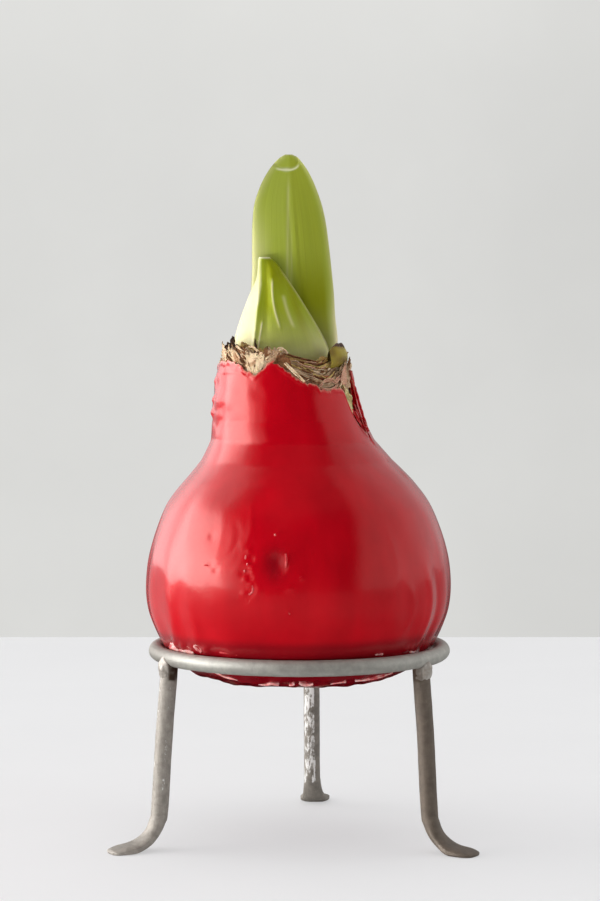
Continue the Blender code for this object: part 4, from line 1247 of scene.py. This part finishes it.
class AMARYLLIS_OT_leaf_stub(bpy.types.Operator):
    """Models the cut base of an older leaf at the right"""

    bl_idname = "amaryllis.leaf_stub"
    bl_label = "Leaf stub"

    def execute(self, context):
        floor = POCKET_FLOOR + 0.3 * MM

        def place(u, v):
            across, outer = round_section(u)
            share = min(v * 1.03, 1.0)
            height = floor + share * (STUB_TOP - floor) - 2.0 * MM * share * across ** 2
            first, last = STUB_TURNS
            out = outwards((first + last) / 2 + (last - first) / 2 * across)
            thick = (2.8 + 2.4 * ease(share, 0.2, 0.6)) * MM * math.sqrt(max(1 - across * across * 0.9, 0))
            middle = STUB_RADIUS + 2.5 * MM * ease(share, 0.1, 0.6)
            closing = math.sqrt(max(1 - ease(v, 0.62, 1.0), 0.0))
            radius = middle + (thick / 2 if outer else -thick / 2) * closing
            point = Vector((NECK_LEAN, 0, height)) + out * radius
            point += out * 0.22 * MM * rough(point, 0.003, 61)
            point.z += 0.7 * MM * rough(point, 0.0025, 62) * ease(share, 0.6, 1.0)
            if v <= 0:
                point = Vector((NECK_LEAN, 0, floor)) + out * middle
            return AXIS + point

        def stub_pale_and_highlight(p):
            turn = turn_of(p, NECK_LEAN)
            # Slightly pale all over, with a painted highlight at the middle right.
            return 0.12 + 0.4 * bell(turn, -16, 6) * bell(p.z / MM, 161, 1.6)

        def stub_deep(p):
            turn = turn_of(p, NECK_LEAN)
            hollow = bell(turn, -27, 9) * bell(p.z / MM, 158.2, 1.3)
            dry = ease(p.z + 0.5 * MM * rough(p, 0.002, 64), 161.4 * MM, 162.6 * MM)
            left = 0.8 * (1 - ease(turn, -37, -31)) * ease(p.z, 158 * MM, 160.5 * MM)
            return max(hollow, dry * 0.8, left)

        stub = sheet("leaf_base", *GRIDS["stub"], place)
        paint_leaf(stub, stub_pale_and_highlight, stub_deep, lambda p: 0.0)
        stub_colours = ((0.31, 0.235, 0.032), (0.13, 0.062, 0.018), (0.52, 0.44, 0.16))
        material = leaf_material("leaf_base_green", *stub_colours)
        dry = Finish("dry_leaf_edge")
        clouds = dry.steps(dry.noise(900, 4, 0.6), (0.4, 0.0), (0.65, 1.0))
        dry.link(dry.mix(clouds, (0.03, 0.015, 0.012), (0.16, 0.09, 0.06)), "Base Color")
        dry.link(dry.bump(dry.noise(1600, 4, 0.7), 0.0003, 0.8), "Normal")
        dry.set(Roughness=0.75)
        finish_piece(stub, material, "leaf_pale", "leaf_stub")
        stub.data.materials.append(dry.material)
        top = STUB_TOP - 1.7 * MM
        for face in stub.data.polygons:
            place_of = face.center - AXIS
            if place_of.z > top + 0.75 * MM + 0.8 * MM * rough(place_of, 0.002, 63):
                face.material_index = 1
        return {"FINISHED"}


# The stand


def weld_shade_and_burn(co):
    """1 on the dark brown patches beside the welds, on the side of each leg towards the middle: painted shade
    in the gap under each weld, browned like burnt steel.
    """
    point = co - AXIS
    strongest = 0.0
    for side, strength in (("left", 1.0), ("right", 0.65)):
        angle = math.radians(LEG_TURNS[side])
        aside = point.x - RING_RADIUS * math.cos(angle)
        inwards = aside if side == "left" else -aside
        near = bell(point.y, RING_RADIUS * math.sin(angle), 10 * MM) * (abs(aside) < 5 * MM)
        low = ease(point.z + 0.5 * MM * rough(point, 0.0015, 76), 54.9 * MM, 55.5 * MM)
        low *= strength * (point.z < 60.8 * MM) * ease(inwards, -0.9 * MM, 0.1 * MM)
        strongest = max(strongest, near * low)
    return strongest * (1.05 + 0.4 * rough(point, 0.0016, 75))


class AMARYLLIS_OT_ring(bpy.types.Operator):
    """Models the ring of bent rod"""

    bl_idname = "amaryllis.ring"
    bl_label = "Ring"

    def execute(self, context):
        deselect()
        bpy.ops.mesh.primitive_torus_add(
            major_radius=RING_RADIUS, minor_radius=RING_ROD / 2, major_segments=260, minor_segments=40,
        )
        ring = bpy.context.object
        ring.name = ring.data.name = "ring_rod"
        for vertex in ring.data.vertices:
            p = vertex.co.copy()
            flat = Vector((p.x, p.y, 0)).normalized()
            middle = flat * RING_RADIUS
            out = (p - middle).normalized()
            worked = 0.10 * rough(p, 0.016, 71) + 0.05 * rough(p, 0.004, 72)
            vertex.co = p + out * (worked - 0.08) * MM + RING_MIDDLE
        paint(ring, "bare", lambda co: 0.55)

        # Painted shade: darker at the ring's left end and along its top at the front, and above each weld a
        # little of the welds' painted shade.
        def painted_shade_at(co):
            turn = turn_of(co - AXIS) % 360
            end = 0.06 + 0.46 * bell(turn, 198, 24)
            front = 0.16 * bell(turn, 272, 26) * ease(co.z, RING_HEIGHT - 1.6 * MM, RING_HEIGHT)
            return max(0.25 * weld_shade_and_burn(co + Vector((0, 0, -6 * MM))), end + front)

        paint(ring, "burnt", painted_shade_at)
        look = settings().stand
        light = tuple(look.ring_colour)
        material = steel_material("ring_steel", light, shade(light, 0.72), (0.72, 0.71, 0.68), 0.50, 0.42)
        finish_piece(ring, material, "steel", "stand_ring")
        return {"FINISHED"}


def leg_line(side):
    """Middle of a leg from the ring to the toe: distance out, height, width and thickness at each place."""
    reach = FOOT_REACH[side]
    splay = LEG_SPLAY[side]
    bend_out = RING_RADIUS + splay
    return [
        (RING_RADIUS, RING_HEIGHT - 1.0 * MM, LEG_ROD, LEG_ROD),
        (RING_RADIUS + 0.1 * splay, RING_HEIGHT - 6 * MM, LEG_ROD, LEG_ROD),
        (RING_RADIUS + 0.55 * splay, (RING_HEIGHT + BEND_HEIGHT) / 2, LEG_ROD, LEG_ROD),
        (bend_out, BEND_HEIGHT, LEG_ROD, LEG_ROD),
        (bend_out + 0.9 * MM, BEND_HEIGHT - 4.2 * MM, LEG_ROD * 1.04, LEG_ROD * 0.93),
        (bend_out + 2.9 * MM, BEND_HEIGHT - 8.0 * MM, LEG_ROD * 1.18, LEG_ROD * 0.78),
        (bend_out + 5.9 * MM, BEND_HEIGHT - 10.6 * MM, LEG_ROD * 1.42, LEG_ROD * 0.64),
        (reach - 8.6 * MM, FOOT_THICKNESS / 2 - 0.1 * MM, FOOT_WIDTH, FOOT_THICKNESS),
        (reach - 4.4 * MM, FOOT_THICKNESS / 2 - 0.5 * MM, FOOT_WIDTH * 0.99, FOOT_THICKNESS * 0.82),
        (reach - 1.6 * MM, TOE_THICKNESS / 2, FOOT_WIDTH * 0.8, TOE_THICKNESS * 1.35),
        (reach, TOE_THICKNESS / 2, FOOT_WIDTH * 0.42, TOE_THICKNESS),
    ]


def leg_piece(side, seed):
    """A leg swept along its line, hammered out into its foot, with a flat sole."""
    columns, rows = GRIDS["leg"]
    line = rounded(leg_line(side), rows + 1)
    turn = Matrix.Rotation(math.radians(LEG_TURNS[side]), 3, "Z")

    def place(u, v):
        (out, height, width, thick), i = on_line(line, v * rows)
        along = Vector((line[i + 1][0] - line[i][0], 0, line[i + 1][1] - line[i][1])).normalized()
        across = Vector((0, 1, 0))
        up = along.cross(across)
        angle = 2 * math.pi * u
        flatness = ease(v, 0.72, 0.86)
        square = 1 + 0.12 * flatness * abs(math.sin(2 * angle))
        closing = math.sqrt(max(1 - ease(v, 0.965, 1.0), 0.0)) if v > 0.965 else 1.0
        closing *= 1 if v > 0 else 0
        point = Vector((out, 0, height))
        point += across * (width / 2 * math.cos(angle) * square * closing)
        point += up * (thick / 2 * math.sin(angle) * square * closing)
        worked = 0.05 * rough(point, 0.010, seed) + (0.05 + 0.16 * flatness) * rough(point, 0.0045, seed + 1)
        point += (across * math.cos(angle) + up * math.sin(angle)) * worked * MM * closing
        point.z = max(point.z, 0.0)
        return AXIS + turn @ point

    return sheet(f"leg_rod_{side}", columns, rows, place)


class AMARYLLIS_OT_legs(bpy.types.Operator):
    """Models the three legs with their hammered feet"""

    bl_idname = "amaryllis.legs"
    bl_label = "Legs"

    def execute(self, context):
        look = settings().stand
        light = tuple(look.leg_colour)
        # The right and back legs take darker copies of the leg colour, the right one browner too: painted
        # shade for legs turned away from the light at the left.
        painted_leg_shade = {"left": (0.94, 0.95, 0.97), "right": (0.42, 0.37, 0.335), "back": (0.66, 0.66, 0.66)}
        for seed, (side, turn) in enumerate(LEG_TURNS.items()):
            leg = leg_piece(side, 80 + 5 * seed)
            tone = tuple(c * part for c, part in zip(light, painted_leg_shade[side]))
            dark = shade(tone, 0.6)
            material = steel_material(f"leg_steel_{side}", tone, dark, (0.90, 0.89, 0.87), 0.52, 0.2)
            front = Vector((-0.5, -1.0, 0)).normalized()

            def bare_at(co):
                p = co - AXIS
                lower = (RING_HEIGHT - p.z) / (RING_HEIGHT - BEND_HEIGHT)
                bent = max(BEND_HEIGHT - p.z, 0.0) / (8 * MM)
                centre = outwards(turn) * (RING_RADIUS + LEG_SPLAY[side] * lower + 2.9 * MM * bent * bent)
                facing = (Vector((p.x, p.y, 0)) - centre).dot(front) / (LEG_ROD / 2)
                if side == "back":
                    return 1.2 * bell(facing, 0.85, 0.3) * ease(p.z, 6 * MM, 10 * MM) + 0.2
                strip = bell(facing, 0.75, 0.4) * ease(p.z, 14 * MM, 20 * MM)
                return strip * (0.62 if side == "left" else 0.42) + 0.25

            paint(leg, "bare", bare_at)
            paint(leg, "burnt", weld_shade_and_burn)
            finish_piece(leg, material, "steel", f"stand_leg_{side}")
        return {"FINISHED"}


class AMARYLLIS_OT_welds(bpy.types.Operator):
    """Models the weld beads that join the legs to the ring"""

    bl_idname = "amaryllis.welds"
    bl_label = "Welds"

    def execute(self, context):
        tones = ((0.53, 0.50, 0.46), (0.30, 0.26, 0.22), (0.80, 0.79, 0.76))
        material = steel_material("weld_steel", *tones, 0.42, 0.25)
        for seed, (side, turn) in enumerate(LEG_TURNS.items()):
            deselect()
            bpy.ops.mesh.primitive_ico_sphere_add(subdivisions=5, radius=1.0)
            bead = bpy.context.object
            bead.name = bead.data.name = f"weld_{side}"
            spin = Matrix.Rotation(math.radians(turn), 3, "Z")
            for vertex in bead.data.vertices:
                n = vertex.co.copy()
                lump = 1 + 0.20 * rough(n, 0.9, 90 + seed) + 0.10 * rough(n, 0.35, 95 + seed)
                size = Vector((3.0, 3.1, 4.4)) * lump * 0.98
                p = Vector((n.x * size.x, n.y * size.y, n.z * size.z)) * MM
                p += Vector((RING_RADIUS + 0.8 * MM, 0, RING_HEIGHT - 3.7 * MM))
                vertex.co = AXIS + spin @ p
            paint(bead, "bare", lambda co: 0.8)
            paint(bead, "burnt", lambda co: weld_shade_and_burn(co) * 0.95)
            finish_piece(bead, material, "steel", f"stand_leg_{side}")
        return {"FINISHED"}


# The stage


def aim(obj, target):
    direction = Vector(target) - obj.location
    obj.rotation_euler = direction.to_track_quat("-Z", "Y").to_euler()


def soft_light(name, place, target, size, power, colour):
    """A rectangular soft light that shows neither to the camera nor in glossy surfaces."""
    deselect()
    bpy.ops.object.light_add(type="AREA", location=AXIS + Vector(place))
    lamp = bpy.context.object
    lamp.name = lamp.data.name = name
    lamp.data.shape = "RECTANGLE"
    lamp.data.size, lamp.data.size_y = size
    lamp.data.energy = power
    lamp.data.color = colour
    lamp.visible_camera = False
    lamp.visible_glossy = False
    aim(lamp, AXIS + Vector(target))
    return lamp


def make_world(stage):
    """A pale wall for the camera, dim even light for matt surfaces, and soft boxes for glossy ones."""
    world = bpy.data.worlds.new("studio")
    bpy.context.scene.world = world
    world.use_nodes = True
    tree = world.node_tree
    tree.nodes.clear()

    def node(kind, inputs=()):
        return add_node(tree, kind, inputs)

    def sums(operation, first, second=0.0):
        return add_node(tree, "ShaderNodeMath", {0: first, 1: second}, operation=operation).outputs[0]

    def product(first, second):
        return sums("MULTIPLY", first, second)

    def ramp(source, *stops):
        return add_ramp(tree, source, stops, "EASE")

    def round_ramp(source, *stops):
        """A ramp whose places are turns from -180 to 180."""
        return ramp(source, *[(turn / 360 + 0.5, value) for turn, value in stops])

    where = node("ShaderNodeTexCoord").outputs["Generated"]
    split = node("ShaderNodeSeparateXYZ", {0: where})
    front = product(split.outputs["Y"], -1.0)
    turn = sums("ADD", product(sums("ARCTAN2", split.outputs["X"], front), 0.5 / math.pi), 0.5)
    rise = split.outputs["Z"]
    height = sums("ADD", product(rise, 0.5), 0.5)

    # Turns count from the camera, with the left below nought. Heights are 0.5 level with the horizon
    up = sums("MAXIMUM", rise, 0.0)
    back = product(product(up, up), BOX_SLANT)
    left = round_ramp(
        sums("ADD", turn, back),
        (-165, 0.05), (-122, 0.30), (-101, 0.9), (-67, 1), (-56, 0.35), (-44, 0.14), (-26, 0),
    )
    fade = ramp(height, (0.49, 0), (0.5, 1), (0.6, 1), (0.74, 0.74), (0.85, 0.18), (0.97, 0.11))
    left = product(left, fade)
    right = round_ramp(sums("SUBTRACT", turn, back), (40, 0), (58, 1), (112, 1), (148, 0.6), (166, 0.2))
    right = product(right, ramp(height, (0.49, 0), (0.5, 1), (0.8, 0.85), (0.97, 0.4)))
    wall = ramp(sums("ABSOLUTE", sums("SUBTRACT", turn, 0.5)), (0.36, 0), (0.47, 1))
    wall = product(wall, ramp(height, (0.47, 0), (0.5, 1)))
    ground = ramp(height, (0, 0.02), (0.1, 0.1), (0.25, 0.42), (0.4, 1), (0.485, 1), (0.5, 0))
    sideways = round_ramp(
        turn, (-171, 0), (-155, 1.6), (-95, 2.5), (-50, 1.5), (0, 0.75), (90, 0.9), (153, 1.2), (171, 0),
    )
    ground = product(ground, sideways)
    light = product(left, stage.left_gloss)
    light = sums("ADD", light, product(right, stage.right_gloss))
    light = sums("ADD", light, product(wall, stage.wall_gloss))
    light = sums("ADD", light, product(ground, stage.floor_gloss))
    mirrored = node("ShaderNodeBackground", {"Color": (1, 1, 1, 1), "Strength": light})

    even = node("ShaderNodeBackground", {"Color": (1, 1, 1.01, 1), "Strength": stage.fill})
    low, high = stage.wall_low, stage.wall_high
    plaster = node("ShaderNodeTexNoise", {"Vector": where, "Scale": 9.0, "Detail": 6.0, "Roughness": 0.62})
    plaster = ramp(plaster.outputs[0], (0.3, 0.97), (0.75, 1.015))
    tone = product(ramp(rise, (0.0, low), (0.16, high)), plaster)
    corner = ramp(split.outputs["X"], (0.02, 1.0), (0.11, 0.94))
    corner = sums("MAXIMUM", corner, ramp(rise, (0.0, 0.0), (0.12, 1.0)))
    backdrop = node("ShaderNodeBackground", {"Color": (1, 1, 0.975, 1), "Strength": product(tone, corner)})

    path = node("ShaderNodeLightPath")
    shown = even
    for ray, other in (("Is Glossy Ray", mirrored), ("Is Camera Ray", backdrop)):
        shown = node("ShaderNodeMixShader", {0: path.outputs[ray], 1: shown.outputs[0], 2: other.outputs[0]})
    node("ShaderNodeOutputWorld", {0: shown.outputs[0]})


class AMARYLLIS_OT_stage(bpy.types.Operator):
    """Sets up the floor, the lights and the camera"""

    bl_idname = "amaryllis.stage"
    bl_label = "Stage"

    def execute(self, context):
        stage = settings().stage
        deselect()
        bpy.ops.mesh.primitive_plane_add(size=1)
        floor = context.object
        floor.name = floor.data.name = "floor"
        for vertex in floor.data.vertices:
            x = vertex.co.x * 6
            y = FLOOR_BACK if vertex.co.y > 0 else -4.0
            vertex.co = AXIS + Vector((x, y, -0.02 * MM))
        floor.data.materials.append(floor_material())
        floor.visible_glossy = False
        make_world(stage)
        soft_light("window", (-1.3, 0.05, 0.42), (0, 0, 0.12), (1.2, 0.9), stage.window, (1, 0.985, 0.97))
        soft_light("bounce", (-0.55, -0.40, 0.035), (0, 0, 0.07), (0.7, 0.06), stage.bounce, (1, 0.985, 0.96))
        soft_light("side_fill", (1.1, 0.15, 0.25), (0, 0, 0.1), (0.8, 0.6), stage.side_fill, (1, 1, 1))
        soft_light("overhead", (-0.2, -0.1, 1.9), (0, 0, 0), (2.6, 2.6), stage.overhead, (1, 1, 1))
        deselect()
        bpy.ops.object.camera_add(location=AXIS + CAMERA_PLACE)
        camera = context.object
        camera.name = "camera"
        camera.rotation_euler = (math.radians(90 - CAMERA_TILT), 0, 0)
        camera.data.lens = CAMERA_LENS
        camera.data.sensor_width = 36
        camera.data.clip_start = 0.05
        context.scene.camera = camera
        context.scene.view_settings.view_transform = "Standard"
        return {"FINISHED"}


# Settings, panel and main


def tint(name, description, *value):
    return FloatVectorProperty(name=name, description=description, default=value, subtype="COLOR")


def amount(name, description, value, **kind):
    return FloatProperty(name=name, description=description, default=value, **kind)


class WaxSettings(bpy.types.PropertyGroup):
    """Sizes and colours of the wax"""

    thickness: amount("Thickness", "Wall of the wax coat", 1.5 * MM, unit="LENGTH")
    colour: tint("Colour", "Colour of the wax", 0.505, 0.0004, 0.0078)


class LeafSettings(bpy.types.PropertyGroup):
    """Colours of the leaves"""

    green: tint("Green", "Main colour of a leaf", 0.331, 0.388, 0.053)
    deep: tint("Deep green", "Shaded parts of a leaf", 0.235, 0.255, 0.004)
    # The pale colour also serves for painted light and painted highlights on the leaves.
    pale: tint("Pale", "Base and margins of a leaf", 0.85, 0.79, 0.49)


class CollarSettings(bpy.types.PropertyGroup):
    """Colours of the dry skins"""

    pale: tint("Pale skin", "Palest of the dry skins", 1.0, 0.78, 0.52)
    ringed: tint("Layers", "Smooth layers at the front right", 0.56, 0.42, 0.15)
    brown: tint("Brown skin", "Browner skins", 0.40, 0.19, 0.09)
    dark: tint("Dark skin", "Shaded and rotten skins", 0.085, 0.032, 0.013)


class StandSettings(bpy.types.PropertyGroup):
    """Colours of the stand"""

    ring_colour: tint("Ring", "Colour of the ring", 0.56, 0.55, 0.50)
    leg_colour: tint("Legs", "Colour of the legs", 0.45, 0.405, 0.35)


class StageSettings(bpy.types.PropertyGroup):
    """Floor, backdrop and lights"""

    floor_tone: amount("Floor", "How pale the floor is", 0.42, subtype="FACTOR")
    floor_glow: amount("Floor glow", "Evens out the shadows on the floor", 0.455)
    wall_low: amount("Backdrop below", "Backdrop near the floor", 0.71, subtype="FACTOR")
    wall_high: amount("Backdrop above", "Backdrop higher up", 0.79, subtype="FACTOR")
    fill: amount("Fill", "Even light from all round", 0.27)
    window: amount("Window", "Power of the light from the left", 11.0, unit="POWER")
    bounce: amount("Bounce", "Power of the light that comes off the floor at the left", 2.8, unit="POWER")
    side_fill: amount("Side fill", "Power of the weak light from the right", 4.3, unit="POWER")
    overhead: amount("Overhead", "Power of the light from above", 21.0, unit="POWER")
    left_gloss: amount("Left reflection", "Strength of the left soft box", 10.4)
    right_gloss: amount("Right reflection", "Strength of the right soft box", 0.9)
    wall_gloss: amount("Wall reflection", "Strength of the wall in reflections", 0.2)
    floor_gloss: amount("Floor reflection", "Strength of the floor in reflections", 0.31)


class AmaryllisSettings(bpy.types.PropertyGroup):
    """All that can be changed"""

    wax: PointerProperty(type=WaxSettings)
    collar: PointerProperty(type=CollarSettings)
    leaves: PointerProperty(type=LeafSettings)
    stand: PointerProperty(type=StandSettings)
    stage: PointerProperty(type=StageSettings)


STEPS = (
    AMARYLLIS_OT_stage,
    AMARYLLIS_OT_ring,
    AMARYLLIS_OT_legs,
    AMARYLLIS_OT_welds,
    AMARYLLIS_OT_bulb,
    AMARYLLIS_OT_wax,
    AMARYLLIS_OT_collar,
    AMARYLLIS_OT_tear,
    AMARYLLIS_OT_tall_leaves,
    AMARYLLIS_OT_short_leaf,
    AMARYLLIS_OT_leaf_stub,
)


class AMARYLLIS_PT_panel(bpy.types.Panel):
    """Lists the steps and the settings"""

    bl_idname = "AMARYLLIS_PT_panel"
    bl_label = "Waxed amaryllis"
    bl_space_type = "VIEW_3D"
    bl_region_type = "UI"
    bl_category = "Amaryllis"

    def draw(self, context):
        for step in STEPS:
            self.layout.operator(step.bl_idname)
        for group in ("wax", "collar", "leaves", "stand", "stage"):
            box = self.layout.box()
            chosen = getattr(context.scene.amaryllis, group)
            for name in chosen.__annotations__:
                box.prop(chosen, name)


CLASSES = (
    WaxSettings, CollarSettings, LeafSettings, StandSettings, StageSettings, AmaryllisSettings, *STEPS,
    AMARYLLIS_PT_panel,
)


def register():
    for cls in CLASSES:
        bpy.utils.register_class(cls)
    bpy.types.Scene.amaryllis = PointerProperty(type=AmaryllisSettings)


def unregister():
    del bpy.types.Scene.amaryllis
    for cls in reversed(CLASSES):
        bpy.utils.unregister_class(cls)


def main():
    register()
    bpy.ops.amaryllis.stage()
    bpy.ops.amaryllis.ring()
    bpy.ops.amaryllis.legs()
    bpy.ops.amaryllis.welds()
    bpy.ops.amaryllis.bulb()
    bpy.ops.amaryllis.wax()
    bpy.ops.amaryllis.collar()
    bpy.ops.amaryllis.tear()
    bpy.ops.amaryllis.tall_leaves()
    bpy.ops.amaryllis.short_leaf()
    bpy.ops.amaryllis.leaf_stub()


if __name__ == "__main__":
    main()
